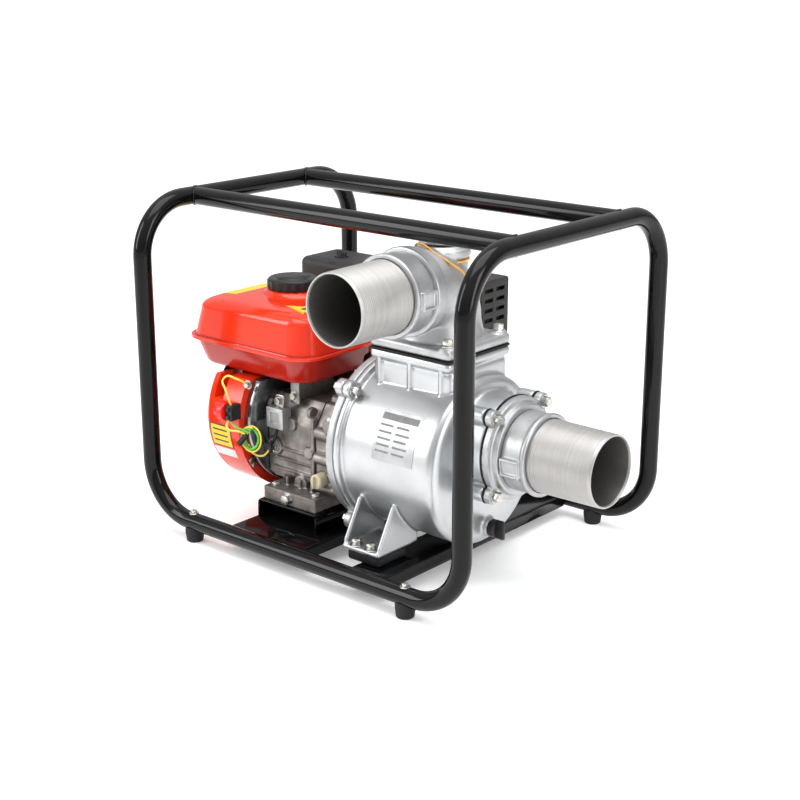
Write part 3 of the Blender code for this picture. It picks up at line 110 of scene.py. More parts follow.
# ---- materials ----------------------------------------------------------------------------------
def surface(
    name,
    colour,
    tint=None,
    roughness=(0.4, 0.5),
    metallic=0.0,
    patches=40,
    grain=0,
    depth=0.0,
    stretch=(1, 1, 1),
    coat=0.0,
    shine=0.5,
):
    """Material whose colour drifts from colour to tint in patches, with a bumped grain.  Both
    patches and grain are repeats per metre; depth is the bump's height in millimetres."""
    made = bpy.data.materials.new(name)
    made.use_nodes = True
    nodes, links = made.node_tree.nodes, made.node_tree.links
    shader = nodes["Principled BSDF"]
    shader.inputs["Metallic"].default_value = metallic
    shader.inputs["Coat Weight"].default_value = coat
    shader.inputs["Coat Roughness"].default_value = 0.08
    shader.inputs["Specular IOR Level"].default_value = shine
    where = nodes.new("ShaderNodeTexCoord")
    mapping = nodes.new("ShaderNodeMapping")
    mapping.inputs["Scale"].default_value = stretch
    links.new(where.outputs["Object"], mapping.inputs["Vector"])
    drift = nodes.new("ShaderNodeTexNoise")
    drift.inputs["Scale"].default_value = patches
    drift.inputs["Detail"].default_value = 6
    drift.inputs["Roughness"].default_value = 0.6
    links.new(mapping.outputs["Vector"], drift.inputs["Vector"])
    mix = nodes.new("ShaderNodeMix")
    mix.data_type = "RGBA"
    mix.inputs["A"].default_value = (*colour, 1)
    mix.inputs["B"].default_value = (*(tint or colour), 1)
    spread = nodes.new("ShaderNodeMapRange")
    spread.inputs["From Min"].default_value = 0.35
    spread.inputs["From Max"].default_value = 0.65
    links.new(drift.outputs["Fac"], spread.inputs["Value"])
    links.new(spread.outputs["Result"], mix.inputs["Factor"])
    links.new(mix.outputs["Result"], shader.inputs["Base Color"])
    dull = nodes.new("ShaderNodeMapRange")
    dull.inputs["From Min"].default_value = 0.3
    dull.inputs["From Max"].default_value = 0.7
    dull.inputs["To Min"].default_value = roughness[0]
    dull.inputs["To Max"].default_value = roughness[1]
    links.new(drift.outputs["Fac"], dull.inputs["Value"])
    links.new(dull.outputs["Result"], shader.inputs["Roughness"])
    if grain:
        fine = nodes.new("ShaderNodeTexNoise")
        fine.inputs["Scale"].default_value = grain
        fine.inputs["Detail"].default_value = 3
        links.new(mapping.outputs["Vector"], fine.inputs["Vector"])
        bump = nodes.new("ShaderNodeBump")
        bump.inputs["Strength"].default_value = 1.0
        bump.inputs["Distance"].default_value = depth * MM
        links.new(fine.outputs["Fac"], bump.inputs["Height"])
        links.new(bump.outputs["Normal"], shader.inputs["Normal"])
    return made


GLOSS_BLACK = surface(
    "gloss_black_paint",
    (0.002, 0.002, 0.0025),
    (0.004, 0.004, 0.0045),
    (0.07, 0.13),
    0,
    25,
    300,
    0.015,
    shine=0.2,
)
CAST = surface(
    "blasted_casting", (0.47, 0.475, 0.48), (0.37, 0.375, 0.38), (0.36, 0.46), 0.85, 30, 900, 0.08
)
DRUM = surface("painted_casting", (0.5, 0.51, 0.52), (0.44, 0.45, 0.46), (0.3, 0.38), 0.9, 14, 1200, 0.03)
TURNED_X = surface(
    "turned_tail", (0.44, 0.43, 0.42), (0.38, 0.37, 0.36), (0.38, 0.48), 0.75, 6, 12, 0.03, (60, 2, 2)
)
TURNED_Y = surface(
    "turned_outlet_tail",
    (0.44, 0.43, 0.42),
    (0.38, 0.37, 0.36),
    (0.38, 0.48),
    0.75,
    6,
    12,
    0.03,
    (2, 60, 2),
)
ENGINE = surface(
    "engine_die_casting", (0.27, 0.25, 0.235), (0.15, 0.135, 0.125), (0.36, 0.52), 0.82, 45, 900, 0.12
)
RED = surface(
    "red_enamel", (0.74, 0.036, 0.008), (0.66, 0.026, 0.006), (0.1, 0.16), 0, 12, 140, 0.03, shine=0.4
)
# Shaded copy of the red enamel: painted shade for the tank's lower half and the bead above its lip.
SHADED_RED = surface(
    "red_enamel_painted_shade", (0.4, 0.014, 0.006), (0.34, 0.011, 0.005), (0.14, 0.2), 0, 12, 140, 0.03, shine=0.4
)
SHROUD = surface("shroud_grey", (0.3, 0.33, 0.345), (0.19, 0.21, 0.22), (0.16, 0.3), 0.95, 25, 300, 0.05)
BRACKET = surface("bracket_steel", (0.3, 0.3, 0.29), (0.2, 0.2, 0.19), (0.3, 0.45), 0.9, 60, 500, 0.06)
ZINC = surface("bright_zinc", (0.6, 0.6, 0.58), (0.42, 0.41, 0.37), (0.18, 0.32), 1.0, 90, 700, 0.03)
STEEL = surface("bare_steel", (0.45, 0.45, 0.45), (0.36, 0.36, 0.36), (0.28, 0.4), 1.0, 60, 500, 0.03)
IRON = surface("raw_iron", (0.12, 0.12, 0.12), (0.08, 0.075, 0.07), (0.5, 0.65), 0.7, 60, 500, 0.15)
RUBBER = surface(
    "moulded_rubber", (0.009, 0.009, 0.009), (0.015, 0.015, 0.015), (0.6, 0.8), 0, 90, 900, 0.08, shine=0.3
)
PLASTIC = surface(
    "black_plastic", (0.008, 0.008, 0.009), (0.014, 0.014, 0.015), (0.3, 0.4), 0, 60, 1400, 0.05, shine=0.35
)
GREY_PLASTIC = surface(
    "air_cleaner_plastic",
    (0.014, 0.014, 0.016),
    (0.022, 0.022, 0.024),
    (0.4, 0.52),
    0,
    60,
    1200,
    0.08,
    shine=0.35,
)
RED_PLASTIC = surface(
    "red_plastic", (0.9, 0.012, 0.008), (0.75, 0.01, 0.006), (0.25, 0.35), 0, 60, 900, 0.04
)
CREAM = surface("cream_plastic", (0.6, 0.53, 0.36), (0.52, 0.45, 0.3), (0.4, 0.55), 0, 60, 900, 0.05)
# Heat-blackened finish; also used for the painted shade behind the fan cover's openings.
HEAT_BLACK_AND_SHADE = surface(
    "heat_black", (0.016, 0.016, 0.017), (0.03, 0.027, 0.025), (0.45, 0.6), 0.1, 60, 700, 0.1, shine=0.3
)
YELLOW = surface("yellow_label", (0.82, 0.55, 0.02), (0.76, 0.5, 0.018), (0.35, 0.45), 0, 60, 300, 0.01)
PALE_LABEL = surface("pale_label", (0.72, 0.72, 0.72), (0.64, 0.64, 0.64), (0.4, 0.5), 0, 60, 300, 0.01)
INK = surface("label_ink", (0.03, 0.03, 0.03), (0.05, 0.05, 0.05), (0.5, 0.6), 0, 200)
GREY_INK = surface("plate_ink", (0.16, 0.16, 0.16), (0.22, 0.22, 0.22), (0.5, 0.6), 0, 200)
YELLOW_WIRE = surface(
    "yellow_wire", (0.85, 0.62, 0.08), (0.78, 0.54, 0.06), (0.35, 0.45), 0, 200, 900, 0.02
)
GREEN_WIRE = surface("green_wire", (0.12, 0.5, 0.05), (0.09, 0.4, 0.04), (0.35, 0.45), 0, 200, 900, 0.02)
TIE = surface("orange_tie", (0.75, 0.36, 0.03), (0.66, 0.3, 0.02), (0.4, 0.5), 0, 200, 900, 0.02)
FOAM = surface("filter_foam", (0.2, 0.2, 0.17), (0.12, 0.12, 0.1), (0.9, 1.0), 0, 400, 900, 0.6)
CERAMIC = surface("glazed_ceramic", (0.85, 0.84, 0.8), (0.8, 0.79, 0.75), (0.15, 0.25), 0, 60, 200, 0.01)
# Painted shade for the inside of the hose tails' bores.
BORE_SHADE = surface("tail_bore_painted_shade", (0.15, 0.145, 0.14), (0.1, 0.097, 0.093), (0.4, 0.55), 0.8, 6, 12, 0.05)
FLOOR = surface("studio_floor", (0.93, 0.93, 0.93), (0.9, 0.9, 0.9), (0.6, 0.7), 0, 2)


# ---- shapes: each returns a closed bmesh --------------------------------------------------------
TO_WORLD = Matrix.Translation(SET) @ Matrix.Scale(MM, 4)
OVERLAP = 0.001


def closed(bm):
    bmesh.ops.recalc_face_normals(bm, faces=bm.faces)
    return bm


def moved(bm, matrix):
    bmesh.ops.transform(bm, matrix=matrix, verts=bm.verts)
    return bm


def block(x, y, z, bevel=0.0, segments=3):
    bm = bmesh.new()
    bmesh.ops.create_cube(bm, size=1)
    size = Vector((x[1] - x[0], y[1] - y[0], z[1] - z[0]))
    centre = Vector((sum(x), sum(y), sum(z))) / 2
    moved(bm, Matrix.Translation(centre) @ Matrix.Diagonal((*size, 1)))
    if bevel:
        bmesh.ops.bevel(bm, geom=bm.edges[:], offset=bevel, segments=segments, profile=0.5, affect="EDGES")
    return closed(bm)


def axis_turn(axis):
    """Rotation that takes +Z to the direction axis, and keeps level things level."""
    return Vector(axis).to_track_quat("Z", "Y").to_matrix().to_4x4()


def turned(profile, axis=(0, 0, 1), at=(0, 0, 0), steps=64):
    """Turns (distance along, radius) points about axis.  A profile that starts and ends on the axis
    is a solid; any other is closed back on itself into a ring."""
    bm = bmesh.new()
    rows = []
    for along, radius in profile:
        ring = [2 * math.pi * i / steps for i in (range(steps) if radius > 0 else range(1))]
        rows.append([bm.verts.new((radius * math.cos(a), radius * math.sin(a), along)) for a in ring])
    pairs = list(zip(rows, rows[1:]))
    if profile[0][1] > 0:
        pairs.append((rows[-1], rows[0]))
    for near, far in pairs:
        for i in range(steps):
            j = (i + 1) % steps
            face = [near[i % len(near)], near[j % len(near)], far[j % len(far)], far[i % len(far)]]
            bm.faces.new(list(dict.fromkeys(face)))
    return closed(moved(bm, Matrix.Translation(at) @ axis_turn(axis)))


def rod(start, end, radius, axis=(0, 0, 1), at=(0, 0, 0), steps=48, chamfer=0.0):
    profile = [(start, radius), (end, radius)]
    if chamfer:
        rim = radius - chamfer
        profile = [(start, rim), (start + chamfer, radius), (end - chamfer, radius), (end, rim)]
    profile = [(start, 0), *profile, (end, 0)]
    return turned(profile, axis, at, steps)


def extruded(outline, near, far):
    """Skins the outline, a list of points, from its place moved by near to its place moved by far."""
    bm = bmesh.new()
    rings = [[bm.verts.new(Vector(p) + Vector(shift)) for p in outline] for shift in (near, far)]
    bm.faces.new(rings[0])
    bm.faces.new(rings[1])
    for i in range(len(outline)):
        j = (i + 1) % len(outline)
        bm.faces.new((rings[0][i], rings[0][j], rings[1][j], rings[1][i]))
    return closed(bm)


def loft(sections):
    bm = bmesh.new()
    rings = [[bm.verts.new(p) for p in section] for section in sections]
    for near, far in zip(rings, rings[1:]):
        for i in range(len(near)):
            j = (i + 1) % len(near)
            bm.faces.new((near[i], near[j], far[j], far[i]))
    bm.faces.new(rings[0])
    bm.faces.new(rings[-1])
    return closed(bm)


def rounded_rectangle(x, y, radius, steps=10):
    points = []
    for cx, cy, start in ((x[1], y[1], 0), (x[0], y[1], 90), (x[0], y[0], 180), (x[1], y[0], 270)):
        px = cx - math.copysign(radius, cx - sum(x) / 2)
        py = cy - math.copysign(radius, cy - sum(y) / 2)
        for i in range(steps + 1):
            a = math.radians(start + 90 * i / steps)
            points.append((px + radius * math.cos(a), py + radius * math.sin(a)))
    return points


def rounded_path(corners, radius, steps=14):
    path = [Vector(corners[0])]
    for before, corner, after in zip(corners, corners[1:], corners[2:]):
        corner = Vector(corner)
        back = (Vector(before) - corner).normalized()
        ahead = (Vector(after) - corner).normalized()
        centre = corner + (back + ahead) * radius
        for i in range(steps + 1):
            a = math.pi / 2 * i / steps
            path.append(centre - radius * (math.cos(a) * ahead + math.sin(a) * back))
    return path + [Vector(corners[-1])]


def sweep(path, radius, sides=32):
    """Round bar along the points of path.  radius is a number, or one for each point."""
    bm = bmesh.new()
    radii = [radius] * len(path) if isinstance(radius, float) else radius
    forward = (path[1] - path[0]).normalized()
    across = forward.orthogonal().normalized()
    rings = []
    for i, (point, r) in enumerate(zip(path, radii)):
        ahead = (path[min(i + 1, len(path) - 1)] - path[max(i - 1, 0)]).normalized()
        across = forward.rotation_difference(ahead) @ across
        forward = ahead
        up = forward.cross(across)
        turns = [2 * math.pi * k / sides for k in range(sides)]
        rings.append([bm.verts.new(point + r * (across * math.cos(a) + up * math.sin(a))) for a in turns])
    for near, far in zip(rings, rings[1:]):
        for k in range(sides):
            j = (k + 1) % sides
            bm.faces.new((near[k], near[j], far[j], far[k]))
    bm.faces.new(rings[0])
    bm.faces.new(rings[-1])
    return closed(bm)


def smooth_path(points, per_span=8):
    """Catmull-Rom curve through points."""
    points = [Vector(p) for p in points]
    padded = [2 * points[0] - points[1], *points, 2 * points[-1] - points[-2]]
    path = []
    for p0, p1, p2, p3 in zip(padded, padded[1:], padded[2:], padded[3:]):
        for i in range(per_span):
            t = i / per_span
            square = 2 * p0 - 5 * p1 + 4 * p2 - p3
            cube = 3 * p1 - p0 - 3 * p2 + p3
            path.append(0.5 * (2 * p1 + (p2 - p0) * t + square * t**2 + cube * t**3))
    return path + [points[-1]]


def gathered(parts):
    """One bmesh of several shapes."""
    whole = bmesh.new()
    for part in parts:
        mesh = bpy.data.meshes.new("part")
        part.to_mesh(mesh)
        part.free()
        whole.from_mesh(mesh)
        bpy.data.meshes.remove(mesh)
    return whole


def evaluated(obj):
    """Bmesh of the object with its modifiers applied; the object itself is removed."""
    graph = bpy.context.evaluated_depsgraph_get()
    seen = obj.evaluated_get(graph)
    bm = bmesh.new()
    bm.from_mesh(seen.to_mesh())
    seen.to_mesh_clear()
    mesh = obj.data
    bpy.data.objects.remove(obj)
    bpy.data.meshes.remove(mesh)
    return bm


def loose(bm):
    """Temporary object of the shape."""
    mesh = bpy.data.meshes.new("shape")
    bm.to_mesh(mesh)
    bm.free()
    obj = bpy.data.objects.new("shape", mesh)
    bpy.context.scene.collection.objects.link(obj)
    return obj


def cut(bm, *tools):
    for tool in tools:
        base, cutter = loose(bm), loose(tool)
        modifier = base.modifiers.new("cut", "BOOLEAN")
        modifier.operation = "DIFFERENCE"
        modifier.object = cutter
        bm = evaluated(base)
        mesh = cutter.data
        bpy.data.objects.remove(cutter)
        bpy.data.meshes.remove(mesh)
    return bm


def fused(parts, voxel=1.5, rounds=4):
    """Closed shapes that overlap, grown into one casting whose corners are a little round."""
    obj = loose(gathered(parts))
    remesh = obj.modifiers.new("remesh", "REMESH")
    remesh.mode = "VOXEL"
    remesh.voxel_size = voxel
    smooth = obj.modifiers.new("smooth", "SMOOTH")
    smooth.factor = 0.6
    smooth.iterations = rounds
    return evaluated(obj)


def cad(node):
    """Bmesh copy of a CAD node."""
    bm = bmesh.new()
    bm.from_mesh(frame["nodes"][node].data)
    moved(bm, TO_WORLD.inverted())
    bmesh.ops.remove_doubles(bm, verts=bm.verts, dist=0.001)
    return bm


def piece(name, bm, material, body="pump_unit", stands_for=(), bevel=0.0, angle=35):
    """Adds the shape to the object, riding on a CAD body."""
    moved(bm, TO_WORLD)
    mesh = bpy.data.meshes.new(name)
    bm.to_mesh(mesh)
    bm.free()
    mesh.materials.append(material)
    obj = bpy.data.objects.new(name, mesh)
    bpy.context.scene.collection.objects.link(obj)
    finish_edges(obj, bevel, angle)
    if stands_for:
        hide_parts(*stands_for)
    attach(obj, body)
    return obj


def finish_edges(obj, bevel=0.0, angle=35):
    obj.data.shade_smooth()
    if not bevel:
        obj.data.set_sharp_from_angle(angle=math.radians(angle))
        return
    modifier = obj.modifiers.new("bevel", "BEVEL")
    modifier.width = bevel * MM
    modifier.segments = 2
    modifier.limit_method = "ANGLE"
    modifier.angle_limit = math.radians(30)
    modifier.harden_normals = True


def bolt(at, axis, across=13, washer=8, head=6, shank=0.0):
    """Hex bolt with a chamfered head and a washer of radius washer, standing on the point at."""
    corner = across / 2 / math.cos(math.pi / 6)
    seat = 1.4
    hexagon = turned([(seat, 0), (seat, corner), (seat + head, corner), (seat + head, 0)], steps=6)
    bmesh.ops.bevel(hexagon, geom=hexagon.edges[:], offset=0.5, segments=2, profile=0.5, affect="EDGES")
    crown = turned(
        [(head, 0), (head, across * 0.42), (head + 1.9, across * 0.36), (head + 2.1, 0)], steps=24
    )
    ring = rod(0, 1.5, washer, steps=32, chamfer=0.3)
    parts = [hexagon, crown, ring]
    if shank:
        parts.append(rod(-shank, OVERLAP, across * 0.3, steps=16))
    return moved(gathered(parts), Matrix.Translation(at) @ axis_turn(axis))


# ---- dressed CAD nodes --------------------------------------------------------------------------
def dress(node, material, bevel=0.5):
    """Gives a CAD node its finish and soft edges, with its shape left alone."""
    obj = frame["nodes"][node]
    obj.data.materials.clear()
    obj.data.materials.append(material)
    weld = obj.modifiers.new("weld", "WELD")
    weld.merge_threshold = 0.001 * MM
    finish_edges(obj, bevel)


def on_crank(*shapes):
    """Shapes made about the crank's axis, moved there."""
    return [moved(shape, Matrix.Translation(CRANK)) for shape in shapes]


def standing(bm, at, axis):
    return moved(bm, Matrix.Translation(at) @ axis_turn(axis))


FINISH_OF_SLOT = {
    "frame_black": GLOSS_BLACK,
    "rubber": RUBBER,
    "engine_red": RED,
    "cast_aluminium": CAST,
    "engine_casting": ENGINE,
    "grey_sheet": SHROUD,
    "machined_steel": STEEL,
    "zinc_steel": ZINC,
    "cast_iron": IRON,
    "black_plastic": PLASTIC,
    "red_plastic": RED_PLASTIC,
    "cream_plastic": CREAM,
    "heat_black": HEAT_BLACK_AND_SHADE,
    "filter_foam": FOAM,
    "ceramic": CERAMIC,
}
for row in frame["record"]["subparts"]:
    node = row["node"]
    bracket = node.startswith("tank_bracket")
    thin = node in ("muffler_guard", "carburettor", "flywheel")
    dress(node, BRACKET if bracket else FINISH_OF_SLOT[row["material_slot"]], 0.25 if thin else 0.6)


# ---- frame --------------------------------------------------------------------------------------
def build_frame():
    for name, side in (("left", -1), ("right", 1)):
        x = side * FRAME_X
        seam = RAIL_SEAM_X + side * 0.2
        corners = [
            (seam, -FRAME_Y, RAIL_Z),
            (x, -FRAME_Y, RAIL_Z),
            (x, -FRAME_Y, TOP_Z),
            (x, FRAME_Y, TOP_Z),
            (x, FRAME_Y, RAIL_Z),
            (seam, FRAME_Y, RAIL_Z),
        ]
        tube = sweep(rounded_path(corners, TUBE_BEND, 20), TUBE_R, 48)
        piece(f"hoop_{name}", tube, GLOSS_BLACK, stands_for=[f"frame_{name}_tube"])

    for end, side in (("front", -1), ("rear", 1)):
        y = side * TOP_BAR_Y
        path = [Vector((x, y, TOP_Z)) for x in (-FRAME_X, FRAME_X)]
        piece(f"carry_bar_{end}", sweep(path, TUBE_R, 48), GLOSS_BLACK, stands_for=[f"top_bar_{end}"])
        for corner in (-1, 1):
            piece(f"weld_{end}_{'right' if corner > 0 else 'left'}", weld_bead(corner, y), GLOSS_BLACK)
        for place_name, x in (("left", FOOT_X[0]), ("right", FOOT_X[1])):
            at = (x, side * FRAME_Y, RAIL_Z + TUBE_R - 0.6)
            piece(f"foot_bolt_{end}_{place_name}", bolt(at, (0, 0, 1), 8, 7.5, 4, 8), ZINC)
            foot = [(0, 0), (0, 11), (1.5, 12.6), (14, 14.2), (17, 14.3), (22, 13.6), (23, 12.6), (23, 0)]
            shape = turned(foot, at=(x, side * FRAME_Y, 0), steps=48)
            node = f"rubber_foot_{end}_{place_name}"
            piece(f"foot_{end}_{place_name}", shape, RUBBER, stands_for=[node])
        seam_bolt = bolt(
            (RAIL_SEAM_X - 24, side * (FRAME_Y - TUBE_R + 0.6), RAIL_Z), (0, -side, 0), 7, 6, 3.5, 6
        )
        piece(f"seam_bolt_{end}", seam_bolt, ZINC)


def weld_bead(corner, y):
    """Bead round the end of a top bar, where it meets the side hoop."""
    path, radii = [], []
    for i in range(73):
        a = 2 * math.pi * i / 72
        x = corner * (FRAME_X - TUBE_R * abs(math.cos(a)) - 1)
        path.append(Vector((x, y + TUBE_R * math.cos(a), TOP_Z + TUBE_R * math.sin(a))))
        radii.append(1.5 + 0.3 * math.sin(19 * a))
    return sweep(path, radii, 10)


build_frame()


# ---- engine castings ----------------------------------------------------------------------------
def engine_bolt(name, x, y, z, axis, across=9, washer=7.5, head=5):
    piece(name, bolt(CRANK + Vector((x, y, z)), axis, across, washer, head, 6), ZINC)


# Bolt bosses on the cover's face: start and end in X, then Y and Z, all from the crank's axis.
CASE_BOSSES = [
    (-54, -4, -70, 4),
    (-54, -4, -71, -78),
    (-54, -4, -30, 46),
    (-54, -4, 40, 40),
    (-54, -4, 72, -60),
    (-54, -4, -72, -34),
]
CASE_SEAM = [
    (-60, -87.5), (-72.6, -75), (-72.6, 8), (-48, 44.4), (64, 44.4), (76.4, 20), (76.4, -75), (64, -87.5)
]
FRONT_PADS = ((-82, -81, 13), (-134, -32, 14), (-100, 8, 10), (-66, -30, 9))


def front_ribs(x, heights, half, far=-75.0):
    """Level ribs on the front of the crankcase."""
    return [block(x, (far, -70), (z - half, z + half), 1) for z in heights]


def build_crankcase():
    extras = front_ribs((-52, -8), (-58, -40, -22, -4), 1.6, -74.5)
    extras += [rod(x0, x1, 8.5, (1, 0, 0), (0, y, z), 24) for x0, x1, y, z in CASE_BOSSES]
    extras += [
        rod(-79, -66, 12, (0, 1, 0), (-22, 0, 20), 32), rod(-77, -66, 8, (0, 1, 0), (-40, 0, -76), 24)
    ]
    extras.append(block((-14, -6), (-76, -60), (-82, 24), 3))
    cover = fused([cad("crankcase_cover")] + on_crank(*extras), 1.3, 3)
    piece("crankcase_cover_casting", cover, ENGINE, stands_for=["crankcase_cover"])

    extras = front_ribs((-140, -60), (-66, -50, -34), 1.8)
    extras += [rod(x, x + 8, 9, (1, 0, 0), (0, -66, 30), 24) for x in (-150, -70)]
    extras += [rod(-78, -66, radius, (0, 1, 0), (x, 0, z), 32) for x, z, radius in FRONT_PADS]
    extras.append(block((-62, -55.4), (-76, -60), (-82, 24), 3))
    base = [block((-131, -26), (-104, -60), (-106.5, -90), 4)]
    base += [block((x - 2.5, x + 2.5), (-84, -66), (-92, -72), 1.5) for x in (-104, -78, -54)]
    case = fused([cad("crankcase")] + on_crank(*extras, *base), 1.3, 3)
    piece("crankcase_casting", case, ENGINE, stands_for=["crankcase"])

    for i, (_, x1, y, z) in enumerate(CASE_BOSSES):
        engine_bolt(f"cover_bolt_{i}", x1 - 1, y, z, (1, 0, 0))
    for i, x in enumerate((-119, -38)):
        engine_bolt(f"engine_foot_bolt_{i}", x, -90, -90.5, (0, 0, 1), 12, 10, 7)
    drain = bolt(CRANK + Vector((-82, -104, -97)), (0, -1, 0), 14, 9.5, 7, 8)
    piece("oil_drain_bolt", drain, ZINC)
    sensor = bolt(CRANK + Vector((-134, -77.5, -32)), (0, -1, 0), 16, 10, 5, 8)
    piece("oil_level_sensor", sensor, ZINC)
    seam = extruded([(0, *p) for p in CASE_SEAM], (-55.6, 0, 0), (-54.8, 0, 0))
    piece("cover_gasket", moved(seam, Matrix.Translation(CRANK)), RUBBER)


def flat_topped(radius, top, steps=120):
    """Circle whose part above top is cut off level: (y, z) points."""
    start = math.asin(top / radius)
    turn = math.pi + 2 * start
    angles = [math.pi - start + turn * i / steps for i in range(steps + 1)]
    return [(radius * math.cos(a), radius * math.sin(a)) for a in angles]


def build_fan_cover():
    x0, x1 = FAN_X
    top, corner = 68, 9
    rows = [(x1, -1.2), (x1 - 3, -1.2), (x1 - 3.6, 0)]
    for i in range(9):
        a = math.pi / 2 * i / 8
        rows.append((x0 + corner * (1 - math.sin(a)), corner * (1 - math.cos(a))))
    sections = [[(x, *p) for p in flat_topped(FAN_R - inset, top - max(inset, 0))] for x, inset in rows]
    shell = loft(sections)
    groove = block((-224.5, -204.5), (-300, 300), (34, 300))
    inlet = rod(x0 - 2, x0 + 6, 63, (1, 0, 0), steps=96)
    slots = []
    for i in range(20):
        a = math.radians(118 + 8.2 * i)
        slot = block((x0 - 2, x0 + 5.5), (-4, 4), (FAN_R - 8, FAN_R + 4), 1.2, 2)
        slots.append(moved(slot, Matrix.Rotation(a, 4, "X")))
    inlets = 26
    for i in range(inlets):
        a = 2 * math.pi * i / inlets
        if 104 * math.cos(a) < 50:
            slot = block((x0 - 3, x0 + 4), (-3.5, 3.5), (78, 102), 1.4, 2)
            slots.append(moved(slot, Matrix.Rotation(a, 4, "X")))
    shell = cut(shell, groove, inlet, gathered(slots))
    piece("fan_housing", moved(shell, Matrix.Translation(CRANK)), RED, stands_for=["fan_cover"], bevel=0.7)
    # Painted shade: a dark disc at the bottom of the cover's blind slots and centre hole, standing for the
    # dark inside.
    dark = rod(x0 + 5, x0 + 6.5, 107, (1, 0, 0), steps=64)
    piece("fan_housing_painted_shade", moved(dark, Matrix.Translation(CRANK)), HEAT_BLACK_AND_SHADE)
    for i, degrees in enumerate((-150, -95, -40, 215, 12)):
        a = math.radians(degrees)
        at = CRANK + Vector((x1 - 2, (FAN_R - 5) * math.cos(a), (FAN_R - 5) * math.sin(a)))
        piece(f"fan_housing_bolt_{i}", bolt(at, (1, 0, 0), 8, 6.5, 4.5, 6), ZINC)


build_crankcase()
build_fan_cover()


# ---- fuel tank ----------------------------------------------------------------------------------
def tank_outline(z, inset, left=0.0):
    """Level section of the tank, inset on every side and by left more on its sloping left side."""
    x = (low("fuel_tank").x + inset + left, high("fuel_tank").x - inset)
    y = (low("fuel_tank").y + inset, high("fuel_tank").y - inset)
    return [(*p, z) for p in rounded_rectangle(x, y, 42 - 0.5 * inset, 14)]


def build_tank():
    floor, top, seam = low("fuel_tank").z, TANK_TOP, TANK_SEAM
    lower_rows = [
        (floor, 24, 8), (floor + 1, 20.5, 8), (floor + 3, 17.4, 8), (floor + 7, 14, 8), (seam - 2, 6, 2)
    ]
    lower = loft([tank_outline(*row) for row in lower_rows])
    recess = block((-160, 0), (-8, 60), (200, floor + 26), 6)
    # Painted shade: the tank's lower half takes the darker copy of the red enamel.
    piece("tank_lower_half", cut(lower, recess), SHADED_RED, stands_for=["fuel_tank"])
    lip_rows = [(seam - 2.6, 1), (seam - 2.1, 0.2), (seam + 2, 0.2), (seam + 2.5, 1)]
    piece("tank_lip", loft([tank_outline(*row) for row in lip_rows]), RED)
    bead_rows = [(seam + 2.4, 3.4), (seam + 4.2, 4), (seam + 5.2, 6)]
    # Painted shade: the bead above the lip takes the darker copy of the red enamel as well.
    piece("tank_lip_bead", loft([tank_outline(*row) for row in bead_rows]), SHADED_RED)

    upper_rows = [(seam + 2, 5.6), (seam + 12, 6.8, 1.6), (TANK_SHOULDER, 10, 8)]
    for i in range(1, 11):
        a = math.pi / 2 * i / 10
        z = TANK_SHOULDER + (top - TANK_SHOULDER - 2.5) * math.sin(a)
        upper_rows.append((z, 10 + 24 * (1 - math.cos(a)), 8 + 20 * (1 - math.cos(a))))
    upper_rows += [(top - 1.2, 44, 28), (top - 0.4, 58, 28)]
    upper = loft([tank_outline(*row) for row in upper_rows])
    piece("tank_upper_half", upper, RED, angle=50)
    x, y = middle("fuel_cap").x, middle("fuel_cap").y
    rise = 7
    collar = [(-8, 0), (-8, 52), (-1, 47), (3, 42.5), (5.6, 39), (rise, 36.5), (rise, 0)]
    collar = [(top + z, radius) for z, radius in collar]
    piece("tank_filler_collar", turned(collar, at=(x, y, 0), steps=96), RED)

    outline, steps, flutes = [], 180, 18
    for i in range(steps):
        a = 2 * math.pi * i / steps
        r = 38.9 + 0.9 * math.cos(flutes * a)
        outline.append((r * math.cos(a), r * math.sin(a), 0))
    skirt = extruded(outline, (0, 0, 1), (0, 0, 13))
    crown = [(1.5, 0), (1.5, 37.4), (13, 38.6), (14.6, 38), (16, 36.4), (16.6, 33), (16.2, 31), (16.2, 27)]
    crown += [(17.4, 25.5), (19.2, 22), (19.8, 14), (19.9, 0)]
    grip = block((-21, 21), (-4, 4), (18, 19.9), 0.8)
    cap = gathered([skirt, turned(crown, steps=96), grip])
    moved(cap, Matrix.Translation((x, y, top + rise)))
    piece("fuel_cap_shell", cap, PLASTIC, "fuel_cap", stands_for=["fuel_cap"])


def build_brackets():
    left, right = low("tank_bracket_left"), low("tank_bracket_right")
    at = (left.x + 7.5, left.y + 0.5, high("tank_bracket_left").z - 26)
    piece("bracket_bolt_left", bolt(at, (0, -1, 0), 10, 8, 6, 4), ZINC)
    at = (right.x + 8.5, right.y + 0.4, right.z + 12)
    piece("bracket_bolt_right", bolt(at, (0, -1, 0), 10, 8, 6, 4), ZINC)


build_tank()
build_brackets()


# ---- engine trim --------------------------------------------------------------------------------
def build_air_cleaner():
    a, b = low("air_cleaner_cover"), high("air_cleaner_cover")
    band = block((a.x, b.x), (a.y, b.y), (a.z - 4, a.z + 8), 3, 4)
    dome = block((a.x + 1.5, b.x - 1.5), (a.y + 1.5, b.y - 1.5), (a.z, b.z), 11, 6)
    rim = block((a.x + 16, b.x - 16), (a.y + 12, b.y - 12), (b.z - 6, b.z + 1.2), 3, 4)
    shape = fused([band, dome, rim], 1.6, 3)
    piece("air_cleaner_shell", shape, GREY_PLASTIC, stands_for=["air_cleaner_cover"])


